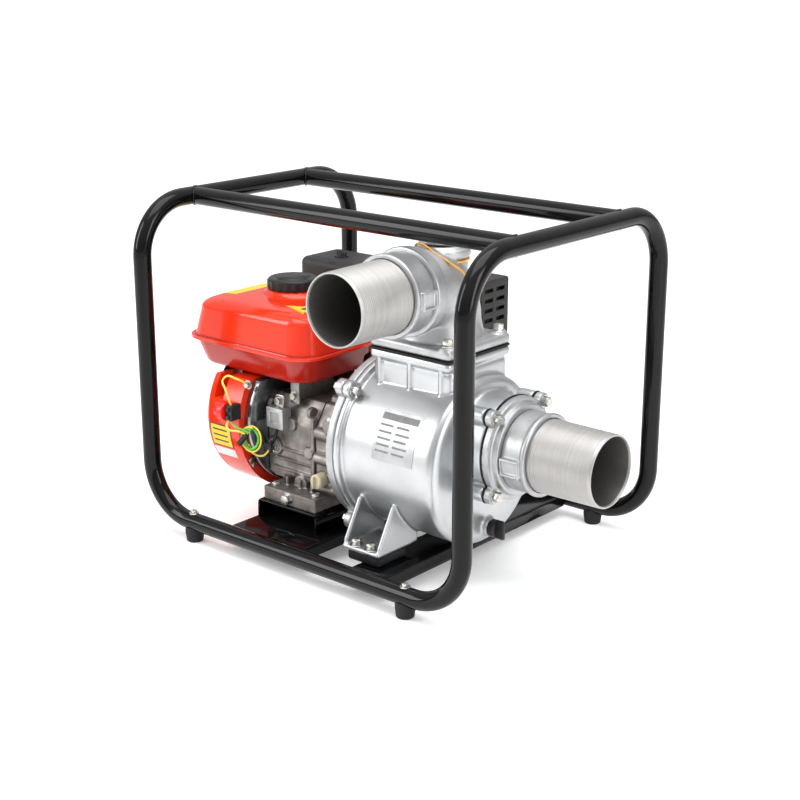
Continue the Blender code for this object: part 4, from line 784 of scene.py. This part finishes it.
def build_oil_unit():
    """Grey box of the low-oil alert, on the front of the crankcase."""
    x, y, z = -121, CRANK.y - 76, 190
    box = block((x - 17, x + 17), (y - 14, y + 6), (z - 16, z + 16), 2)
    pocket = block((x - 9, x + 9), (y - 16, y - 10), (z - 9, z + 9), 1)
    piece("oil_alert_unit", cut(box, pocket), CAST, bevel=0.6)
    tab = block((x - 8, x + 8), (y - 2, y + 1.5), (z + 10, z + 34), 1.2)
    piece("oil_alert_tab", tab, ZINC)
    piece("oil_alert_bolt", bolt((x, y - 2, z + 25), (0, -1, 0), 10, 8, 5, 4), ZINC)
    lead = [(x, y - 6, z - 14), (x - 2, y - 10, z - 30), (x - 12, y - 6, z - 44), (x - 13, y - 5, z - 50)]
    piece("oil_alert_lead", sweep(smooth_path(lead, 10), 2.2, 16), PLASTIC)


def wire(name, points, material, radius=1.5):
    """Thin cord through points."""
    piece(name, sweep(smooth_path(points, 12), radius, 14), material)


def build_wires():
    """Leads of the switch and of the oil sensor, and the two coiled earth wires."""
    upper = [(-168, -182, 211), (-167, -187, 222), (-172, -188, 236), (-182, -184, 246), (-176, -179, 254)]
    wire(
        "switch_wire_upper", [*upper, (-166, -174, 251), (-160, -166, 246), (-159, -158, 240)], YELLOW_WIRE
    )
    lower = [(-170, -184, 190), (-170, -190, 181), (-164, -189, 175), (-154, -183, 174), (-144, -172, 168)]
    wire("switch_wire_lower", lower, YELLOW_WIRE)
    for name, material, radius, thick, shift in (
        ("earth_coil_green", GREEN_WIRE, 12, 1.9, 0),
        ("earth_coil_yellow", YELLOW_WIRE, 15, 1.3, 2.5),
    ):
        coil = []
        for i in range(25):  # eight steps to half a turn
            a = math.pi * (0.4 + i / 8)
            x, z = -145 + shift + radius * math.cos(a), 160 + 1.3 * radius * math.sin(a)
            coil.append((x, -170 + 0.35 * i + 4 * math.cos(a), z))
        wire(name, coil, material, thick)
    lead = [(-150, -166, 150), (-152, -158, 136), (-146, -150, 129), (-137, -146, 131), (-133, -141, 138)]
    wire("sensor_wire", [*lead, (-134, -136, 142)], YELLOW_WIRE)
    wire(
        "switch_wire_green",
        [(-169, -183, 192), (-162, -184, 182), (-150, -178, 176), (-142, -170, 170)],
        GREEN_WIRE,
    )
    sleeve = [(-158, -178, 152), (-152, -175, 160), (-146, -172, 170)]
    piece("wire_sleeve", sweep(smooth_path(sleeve, 8), 4.2, 18), PLASTIC)
    piece("wire_bolt", bolt((-159, -153, 238), (0, -1, 0), 9, 7, 5, 6), ZINC)
    piece("wire_terminal", block((-140, -128), (CRANK.y - 92, CRANK.y - 86), (134, 150), 2), PLASTIC)


def build_labels():
    """Yellow and pale labels, with bars in place of their print."""
    x = (-230, -186)
    arc_label("fan_label", x, 182, 200, YELLOW, True)
    arc_label("fan_label_lower", x, 201.5, 209, PALE_LABEL, False)
    left, slope = low("fuel_tank").x + 18, []
    for i in range(15):
        a = math.radians(24 + 4 * i)
        slope.append((left + 44 * (1 - math.cos(a)), TANK_SHOULDER + 17.5 * math.sin(a)))
    slope += [(-241, TANK_TOP - 2.1), (-227, TANK_TOP - 1.2)]
    outline = [(x, 0, z + 0.5) for x, z in slope] + [(x, 0, z - 1.5) for x, z in reversed(slope)]
    piece("tank_label", extruded(outline, (0, -92, 0), (0, 18, 0)), YELLOW)
    corners = [(-130, -100, 0), (-82, -114, 0), (-84, -72, 0)]
    triangle = extruded(corners, (0, 0, TANK_TOP - 4), (0, 0, TANK_TOP - 0.6))
    piece("tank_label_triangle", triangle, YELLOW)
    mark = block((-100, -91), (-102, -88), (TANK_TOP - 3, TANK_TOP - 0.3), 0.1, 1)
    piece("tank_label_mark", mark, INK)
    x, y, z = high("muffler_guard").x, low("muffler_guard").y, low("muffler_guard").z
    plate = block((x - 0.5, x + 1.6), (y + 1, y + 15), (z + 22, z + 58), 0.6, 2)
    piece("muffler_plate", plate, YELLOW)


def curved_sheet(x, angles, radii):
    """Sheet bent about the crank's axis, through angles, between two radii."""
    outline = [(0, radii[1] * math.cos(a), radii[1] * math.sin(a)) for a in angles]
    outline += [(0, radii[0] * math.cos(a), radii[0] * math.sin(a)) for a in reversed(angles)]
    return moved(extruded(outline, (x[0], 0, 0), (x[1], 0, 0)), Matrix.Translation(CRANK))


def arc_label(name, x, start, end, material, border):
    """Label that follows the fan cover's rim, from start to end degrees about the crank."""
    radius = FAN_R + 0.3

    def strip(x, start, end, radii):
        return curved_sheet(x, [math.radians(start + (end - start) * i / 16) for i in range(17)], radii)

    piece(name, strip(x, start, end, (radius - 0.8, radius + 0.2)), INK if border else material)
    if border:
        face = strip((x[0] + 1.6, x[1] - 1.6), start + 0.9, end - 0.9, (radius, radius + 0.4))
        piece(f"{name}_face", face, material)
        for i in range(3):
            at = start + 3.6 + 4.4 * i
            bar = strip((x[0] + 6, x[1] - 8), at, at + 1.2, (radius, radius + 0.6))
            piece(f"{name}_bar_{i}", bar, INK)


def build_switch():
    """Black body with a round red knob on its left."""
    axis_at = Vector((0, CRANK.y - 131, CRANK.z + 25))
    y, z = axis_at.y, axis_at.z
    body = [block((-176, -163), (y - 6, y + 15), (z - 12, z + 12), 2, 3)]
    body += [block((-172, -166), (y - 9, y - 4), (z + d - 3, z + d + 3), 1) for d in (-6, 6)]
    piece("switch_case", gathered(body), PLASTIC, stands_for=["switch_body"])
    profile = [
        (-198, 0), (-198, 8), (-197, 9.6), (-190, 11), (-188, 14), (-179, 14.6), (-176.4, 13.6), (-176.4, 0)
    ]
    knob = [turned(profile, (1, 0, 0), axis_at, 64)]
    knob.append(moved(block((-202, -190), (-2.6, 2.6), (-12, 12), 1.4, 3), Matrix.Translation(axis_at)))
    piece("switch_knob_cap", gathered(knob), RED_PLASTIC, "switch_knob", stands_for=["switch_knob"])


build_switch()
build_air_cleaner()
build_oil_unit()
build_wires()
build_labels()


# ---- pump ---------------------------------------------------------------------------------------
FLANGE_LOBES = ((45, 130), (135, 130), (-55, 135), (-125, 135))  # degrees and distance, about the crank
FLANGE_R = 125.6
LOBE_R = 12.8
CASING_X = (28.8, 206)
BRACKET_X = (15, 28.4)
FOOT_TOP = 59
NECK_X = (47, 190)
ELBOW_Y = (-117, 22)
FLANGE_CORNERS = ((60, -104), (177, -104), (60, 9), (177, 9))
BOSS_FACE = 247
PLATE_X = (249.6, 261)
EAR_DEGREES = (45, 135, 225, 315)
EAR_CIRCLE = 77


def around_circle(centre, x, degrees, distance):
    """Point at an angle about a level axis through centre, at x along it."""
    a = math.radians(degrees)
    return Vector((x, centre.y + distance * math.cos(a), centre.z + distance * math.sin(a)))


def lobe_rods(x0, x1, radius):
    """Bosses round the casing's flange, about the crank's axis."""
    rods = []
    for degrees, distance in FLANGE_LOBES:
        a = math.radians(degrees)
        rods.append(rod(x0, x1, radius, (1, 0, 0), (0, distance * math.cos(a), distance * math.sin(a)), 32))
    return rods


def ear_rods(x0, x1, radius):
    """Bosses round the suction flange."""
    places = [around_circle(SUCTION, 0, degrees, EAR_CIRCLE) for degrees in EAR_DEGREES]
    return [rod(x0, x1, radius, (1, 0, 0), at, 32) for at in places]


def foot_castings():
    """The casing's two feet, each a pad with two webs up to the drum."""
    parts = []
    for side in (-1, 1):
        ends = sorted((side * 70, side * 146))
        parts.append(block((64, 131), ends, (FOOT_TOP - 7 - CRANK.z, FOOT_TOP - CRANK.z), 2))
        outline = [
            (side * 142, -121), (side * 142, -109), (side * 112, -54), (side * 60, -54), (side * 60, -121)
        ]
        for x in (64.3, 124.7):
            parts.append(extruded([(x, *p) for p in outline], (0, 0, 0), (6, 0, 0)))
    return parts


def build_casing():
    x0, x1 = CASING_X
    suction_axis = Vector((0, SUCTION.y, SUCTION.z))
    shell = [(x0, 0), (x0, FLANGE_R), (x0 + 9.6, FLANGE_R), (x0 + 10.4, 118), (x0 + 60, 119.6)]
    shell += [(x1 - 14, 121.8), (x1 - 9, 121.4), (x1 - 4, 118.4), (x1 - 1.2, 114), (x1, 108), (x1, 0)]
    neck = [block(NECK_X, (-62, 68), (40, 140), 12, 4), block(NECK_X, (-67, 72), (136, 150), 5, 3)]
    neck += [block((x, x + 6), (-66, -56), (100, 142), 2) for x in (60, 115, 170)]
    drum = turned(shell, (1, 0, 0), steps=144)
    around = on_crank(drum, *lobe_rods(x0, x0 + 12, LOBE_R), *neck, *foot_castings())
    around += on_crank(rod(x1 - 5, x1 + 7.7, 13.8, (1, 0, 0), (0, 3, -98), 40))
    boss = [(x1 - 6, 0), (x1 - 6, 76), (x1 + 4, 71), (BOSS_FACE, 69.4), (BOSS_FACE, 0)]
    around += [turned(boss, (1, 0, 0), suction_axis, 96), *ear_rods(x1 + 14, BOSS_FACE, 12)]
    for degrees in EAR_DEGREES:
        rib = block((x1 - 3, 230), (50, 76), (-4, 4), 1.5)
        turn = Matrix.Rotation(math.radians(degrees), 4, "X")
        around.append(moved(rib, Matrix.Translation(suction_axis) @ turn))
    bore = rod(160, 250, 48, (1, 0, 0), suction_axis, 64)  # deep enough for the flap to swing in
    piece("casing_shell", cut(fused(around, 1.5, 9), bore), DRUM, stands_for=["pump_casing"], angle=45)

    for i, (degrees, distance) in enumerate(FLANGE_LOBES):
        at = around_circle(CRANK, x0 + 12, degrees, distance)
        piece(f"casing_bolt_{i}", bolt(at, (1, 0, 0), 13, 9.5, 8, 8), ZINC)
    for i, y in enumerate((-137, 137)):
        for j, x in enumerate((84, 111)):
            at = (x, CRANK.y + y, FOOT_TOP)
            piece(f"pump_foot_bolt_{i}_{j}", bolt(at, (0, 0, 1), 12, 10, 8, 10), ZINC)


def build_pump_bracket():
    x0, x1 = BRACKET_X
    disc = turned([(x0, 0), (x0, FLANGE_R), (x1, FLANGE_R), (x1, 0)], (1, 0, 0), steps=128)
    hub = turned([(-4.7, 0), (-4.7, 62), (8, 64), (x0 + 0.5, 78), (x0 + 0.5, 0)], (1, 0, 0), steps=96)
    ribs = []
    for i in range(8):
        rib = block((-3, x0 + 1), (50, 112), (-3, 3), 1.2)
        ribs.append(moved(rib, Matrix.Rotation(2 * math.pi * (i + 0.5) / 8, 4, "X")))
    shape = fused(on_crank(disc, hub, *lobe_rods(x0, x1, LOBE_R), *ribs), 1.6, 3)
    piece("bracket_casting", shape, CAST, stands_for=["pump_bracket"])
    for i, (degrees, distance) in enumerate(FLANGE_LOBES):
        at = around_circle(CRANK, x0, degrees, distance)
        piece(f"bracket_nut_{i}", bolt(at, (-1, 0, 0), 13, 9, 6, 4), ZINC)


def build_nameplate():
    """Plate on the drum's front, with plain bars where the real one has print."""
    radius, x0, x1 = 121.2, 98, 170

    def patch(x, z0, z1, radii):
        angles = [math.pi - math.asin((z0 + (z1 - z0) * i / 12) / radius) for i in range(13)]
        return curved_sheet(x, angles, radii)

    print_radii = (radius, radius + 0.8)
    plate = patch((x0, x1), 12, 78, (radius - 1.5, radius + 0.7))
    piece("nameplate", plate, CAST, bevel=0.2)
    piece("nameplate_band", patch((x0 + 4, x1 - 4), 66, 74, print_radii), GREY_INK)
    for row in range(5):
        z = 58 - 8.6 * row
        for column, x in enumerate(((x0 + 5, x0 + 28), (x0 + 34, x1 - 16 + 3 * (row % 2)))):
            piece(f"nameplate_bar_{row}_{column}", patch(x, z, z + 2.8, print_radii), GREY_INK)


def nozzle(at, axis):
    """Pipe stub that a hose nut screws on, from the hub's face at."""
    return standing(turned([(-4, 0), (-4, 49), (NOZZLE, 49), (NOZZLE, 0)], steps=72), at, axis)


def build_suction():
    centre = Vector((0, SUCTION.y, SUCTION.z))
    x0, x1 = PLATE_X
    plate = turned([(x0, 0), (x0, 72), (x1, 72), (x1, 0)], (1, 0, 0), centre, 96)
    hub = turned([(255, 0), (255, 67), (262, 65), (270, 64), (270, 0)], (1, 0, 0), centre, 96)
    parts = [plate, hub, *ear_rods(x0, x1, 12), nozzle(SUCTION, (1, 0, 0))]
    bore = rod(240, 300, 39, (1, 0, 0), centre, 64)
    flange = cut(fused(parts, 1.4, 3), bore)
    piece("suction_flange_casting", flange, CAST, stands_for=["suction_flange"])
    sheet_x = (BOSS_FACE + 0.2, x0 - 0.2)
    sheet = fused([rod(*sheet_x, 73, (1, 0, 0), centre, 96), *ear_rods(*sheet_x, 12.8)], 0.7, 1)
    sheet = cut(sheet, rod(240, 260, 47, (1, 0, 0), centre, 64))
    piece("suction_gasket_sheet", sheet, RUBBER, stands_for=["suction_gasket"])
    for i, degrees in enumerate(EAR_DEGREES):
        at = around_circle(SUCTION, x1, degrees, EAR_CIRCLE)
        piece(f"suction_bolt_{i}", bolt(at, (1, 0, 0), 13, 9.5, 8, 8), ZINC)


def build_outlet():
    x, z = OUTLET.x, OUTLET.z
    base_z = low("outlet_elbow").z
    port_at = middle("priming_cap")
    port_at.z = 0
    corners = [(x, sum(ELBOW_Y) / 2, base_z + 2), (x, sum(ELBOW_Y) / 2, z), (x, OUTLET.y - 0.5, z)]
    route = rounded_path(corners, 50, 20)
    flare = [57 + 9 * max(0, 1 - (p.z - base_z) / 34) ** 2 for p in route]
    flange = block(NECK_X, ELBOW_Y, (base_z, base_z + 15), 5, 3)
    bosses = [rod(base_z + 1, base_z + 18.5, 12, at=(cx, cy, 0), steps=32) for cx, cy in FLANGE_CORNERS]
    port = turned([(398, 0), (398, 36), (466, 36), (469, 35), (470, 33), (470, 0)], at=port_at, steps=72)
    collar = [(452, 0), (452, 36), (455, 40), (464, 40), (466, 36), (466, 0)]
    collar = turned(collar, at=port_at, steps=72)
    hub = [(-20, 0), (-20, 60), (-1, 62), (0, 61), (0, 0)]
    hub = standing(turned(hub, steps=72), OUTLET, (0, -1, 0))
    parts = [sweep(route, flare, 64), flange, *bosses, port, collar, hub, nozzle(OUTLET, (0, -1, 0))]
    inner = [route[0] - Vector((0, 0, 4)), *route[1:-1], route[-1] - Vector((0, 40, 0))]
    elbow = cut(fused(parts, 1.6, 5), sweep(inner, 41.0, 40))
    piece("outlet_elbow_casting", elbow, CAST, stands_for=["outlet_elbow"], angle=45)

    edge = [(*p, 0) for p in rounded_rectangle((46.4, 190.6), (-117.6, 22.6), 7)]
    sheet = extruded(edge, (0, 0, 324.3), (0, 0, 326.3))
    sheet = cut(sheet, block((60, 178), (-100, 6), (300, 350)))
    piece("outlet_gasket_sheet", sheet, RUBBER, stands_for=["outlet_gasket"])
    for i, (cx, cy) in enumerate(FLANGE_CORNERS):
        piece(f"elbow_bolt_{i}", bolt((cx, cy, base_z + 18.2), (0, 0, 1), 13, 9.5, 8, 8), ZINC)

    cap = turned([(0.3, 0), (0.3, 31.4), (1, 32), (6, 32), (8, 30), (8.4, 12), (8.4, 0)], steps=72)
    parts = [cap, block((-26, 26), (-4, 4), (6, 14.2), 2.4, 4)]
    for i in range(8):
        tooth = block((28, 32.4), (-3, 3), (0.6, 5.4), 1)
        parts.append(moved(tooth, Matrix.Rotation(math.pi * i / 4, 4, "Z")))
    at = (port_at.x, port_at.y, high("outlet_elbow").z)
    plug = moved(gathered(parts), Matrix.Translation(at))
    piece("priming_plug", plug, CAST, "priming_cap", stands_for=["priming_cap"], bevel=0.3)


def build_union(name, at, axis, lug_turn, material):
    """Hose nut and tail, on the nozzle that stands on at."""
    groove = [(0.4, 49.6), (0.4, 55.2), (1.2, 56), (28, 56), (31, 56.6), (32.5, 58), (36.2, 58), (38, 56.4)]
    groove += [(38, 51.6), (26.4, 51.6), (26.4, 54), (20.4, 54), (20.4, 49.6)]
    parts = [turned(groove, steps=96)]
    for k in range(2):
        turn = Matrix.Rotation(math.radians(lug_turn) + math.pi * k, 4, "Z")
        lug = cut(
            block((53, 62), (-13, 13), (1, 31), 1.5, 3), block((58.2, 64), (-9.5, 9.5), (4.5, 27.5), 1, 2)
        )
        parts.append(moved(lug, turn))
    shape = standing(fused(parts, 1.0, 2), at, axis)
    piece(f"{name}_nut_casting", shape, CAST, f"{name}_nut", stands_for=[f"{name}_nut"])

    end, rings = 138, 30
    step = (end - 43) / rings
    profile = [(20.4, 47), (20.4, 53.4), (25.8, 53.4), (26, 51)]
    for i in range(rings):
        z = 40 + step * i
        r = 51 - (z - 26) / (end - 26)
        profile += [(z, r), (z + 0.6 * step, r + 0.1), (z + 0.8 * step, r - 0.35)]
    profile += [(end - 1.4, 50), (end, 49), (end, 47.6), (end - 1, 47)]
    tail = standing(turned(profile, steps=144), at, axis)
    piece(f"{name}_hose_tail", tail, material, stands_for=[f"{name}_tail"], angle=50)
    # Painted shade: a dark sleeve lining the tail's bore.
    bore_shade = standing(
        turned([(22, 46.7), (end - 4, 46.7), (end - 3, 47.2), (22, 47.2)], steps=96), at, axis
    )
    piece(f"{name}_tail_lining", bore_shade, BORE_SHADE)


build_casing()
build_pump_bracket()
build_nameplate()
build_suction()
build_outlet()
build_union("suction", SUCTION, (1, 0, 0), 8, TURNED_X)
build_union("outlet", OUTLET, (0, -1, 0), 0, TURNED_Y)


def build_tie():
    """Strap that keeps the priming plug from getting lost."""
    x, y, _ = middle("priming_cap")
    top, loop_z, radius = high("outlet_elbow").z - 2.5, 449, 37.4
    turns = [2 * math.pi * i / 48 for i in range(49)]
    loop = [Vector((x + radius * math.cos(a), y + radius * math.sin(a), loop_z)) for a in turns]
    piece("tie_loop", sweep(loop, 1.5, 12), TIE)
    strap = [
        (x - 16, y - 34, loop_z),
        (x - 12, y - 42, top + 2),
        (x + 4, y - 45, top + 5),
        (x + 22, y - 43, top - 4),
        (x + 42, y - 36, top - 16),
        (x + 56, y - 26, top - 28),
        (x + 60, y - 18, top - 42),
    ]
    wire("tie_strap", strap, TIE, 1.4)


def build_rope():
    """Starter rope: its straight run from the recoil cover."""
    rise = math.radians(15)
    pull = Vector((0, math.cos(rise), math.sin(rise)))
    tangent = Vector((-253, CRANK.y + 8.5, CRANK.z - 31.9))
    path = [tangent + pull * d for d in range(62, 112, 2)]
    rope = sweep(path, 2.2, 14)
    moved(rope, TO_WORLD)
    mesh = bpy.data.meshes.new("starter_rope")
    rope.to_mesh(mesh)
    rope.free()
    mesh.materials.append(PALE_LABEL)
    obj = bpy.data.objects.new("starter_rope", mesh)
    bpy.context.scene.collection.objects.link(obj)
    finish_edges(obj)
    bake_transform(obj)


build_tie()
build_rope()


# ---- studio -------------------------------------------------------------------------------------
FLOOR_GLOW = 0.2  # lifts the far floor to white
SKY_STRENGTH = (0.35, 1.3)  # at the horizon and above
CAMERA_AT = (1.36367, -1.63727, 0.8766)
CAMERA_DIP = 17.068
CAMERA_TURN = 40.456
CAMERA_LENS = 68.56


def area_light(name, at, target, size, power):
    light = bpy.data.lights.new(name, "AREA")
    light.shape = "RECTANGLE"
    light.size, light.size_y = size
    light.energy = power
    obj = bpy.data.objects.new(name, light)
    obj.location = at
    obj.rotation_euler = (Vector(target) - Vector(at)).to_track_quat("-Z", "Y").to_euler()
    bpy.context.scene.collection.objects.link(obj)


def build_studio():
    bpy.ops.mesh.primitive_plane_add(size=70, location=(0, 0, 0))
    floor = bpy.context.object
    floor.name = "studio_floor"
    floor.data.materials.append(FLOOR)
    shader = FLOOR.node_tree.nodes["Principled BSDF"]
    shader.inputs["Emission Color"].default_value = (1, 1, 1, 1)
    shader.inputs["Emission Strength"].default_value = FLOOR_GLOW
    world = bpy.data.worlds.new("studio_world")
    bpy.context.scene.world = world
    world.use_nodes = True
    nodes, links = world.node_tree.nodes, world.node_tree.links
    where = nodes.new("ShaderNodeTexCoord")
    height = nodes.new("ShaderNodeSeparateXYZ")
    ramp = nodes.new("ShaderNodeMapRange")
    ramp.inputs["From Min"].default_value = 0
    ramp.inputs["From Max"].default_value = 0.9
    ramp.inputs["To Min"].default_value = SKY_STRENGTH[0]
    ramp.inputs["To Max"].default_value = SKY_STRENGTH[1]
    links.new(where.outputs["Generated"], height.inputs["Vector"])
    links.new(height.outputs["Z"], ramp.inputs["Value"])
    links.new(ramp.outputs["Result"], nodes["Background"].inputs["Strength"])
    nodes["Background"].inputs["Color"].default_value = (1, 1, 1, 1)
    bpy.context.scene.view_settings.view_transform = "Standard"
    area_light("top_box", (0.2, -0.3, 2.4), (0, 0, 0.2), (2.2, 1.6), 45)
    area_light("left_box", (-1.6, -1.9, 1.3), (0, 0, 0.25), (0.8, 1.6), 30)
    area_light("right_box", (2.4, -0.2, 1.1), (0.1, 0, 0.25), (0.8, 1.6), 26)

    camera = bpy.data.cameras.new("photo_camera")
    camera.lens = CAMERA_LENS
    camera.sensor_width = 36
    camera.clip_start = 0.05
    obj = bpy.data.objects.new("photo_camera", camera)
    obj.location = CAMERA_AT
    obj.rotation_euler = (math.radians(90 - CAMERA_DIP), 0, math.radians(CAMERA_TURN))
    bpy.context.scene.collection.objects.link(obj)
    bpy.context.scene.camera = obj


build_studio()
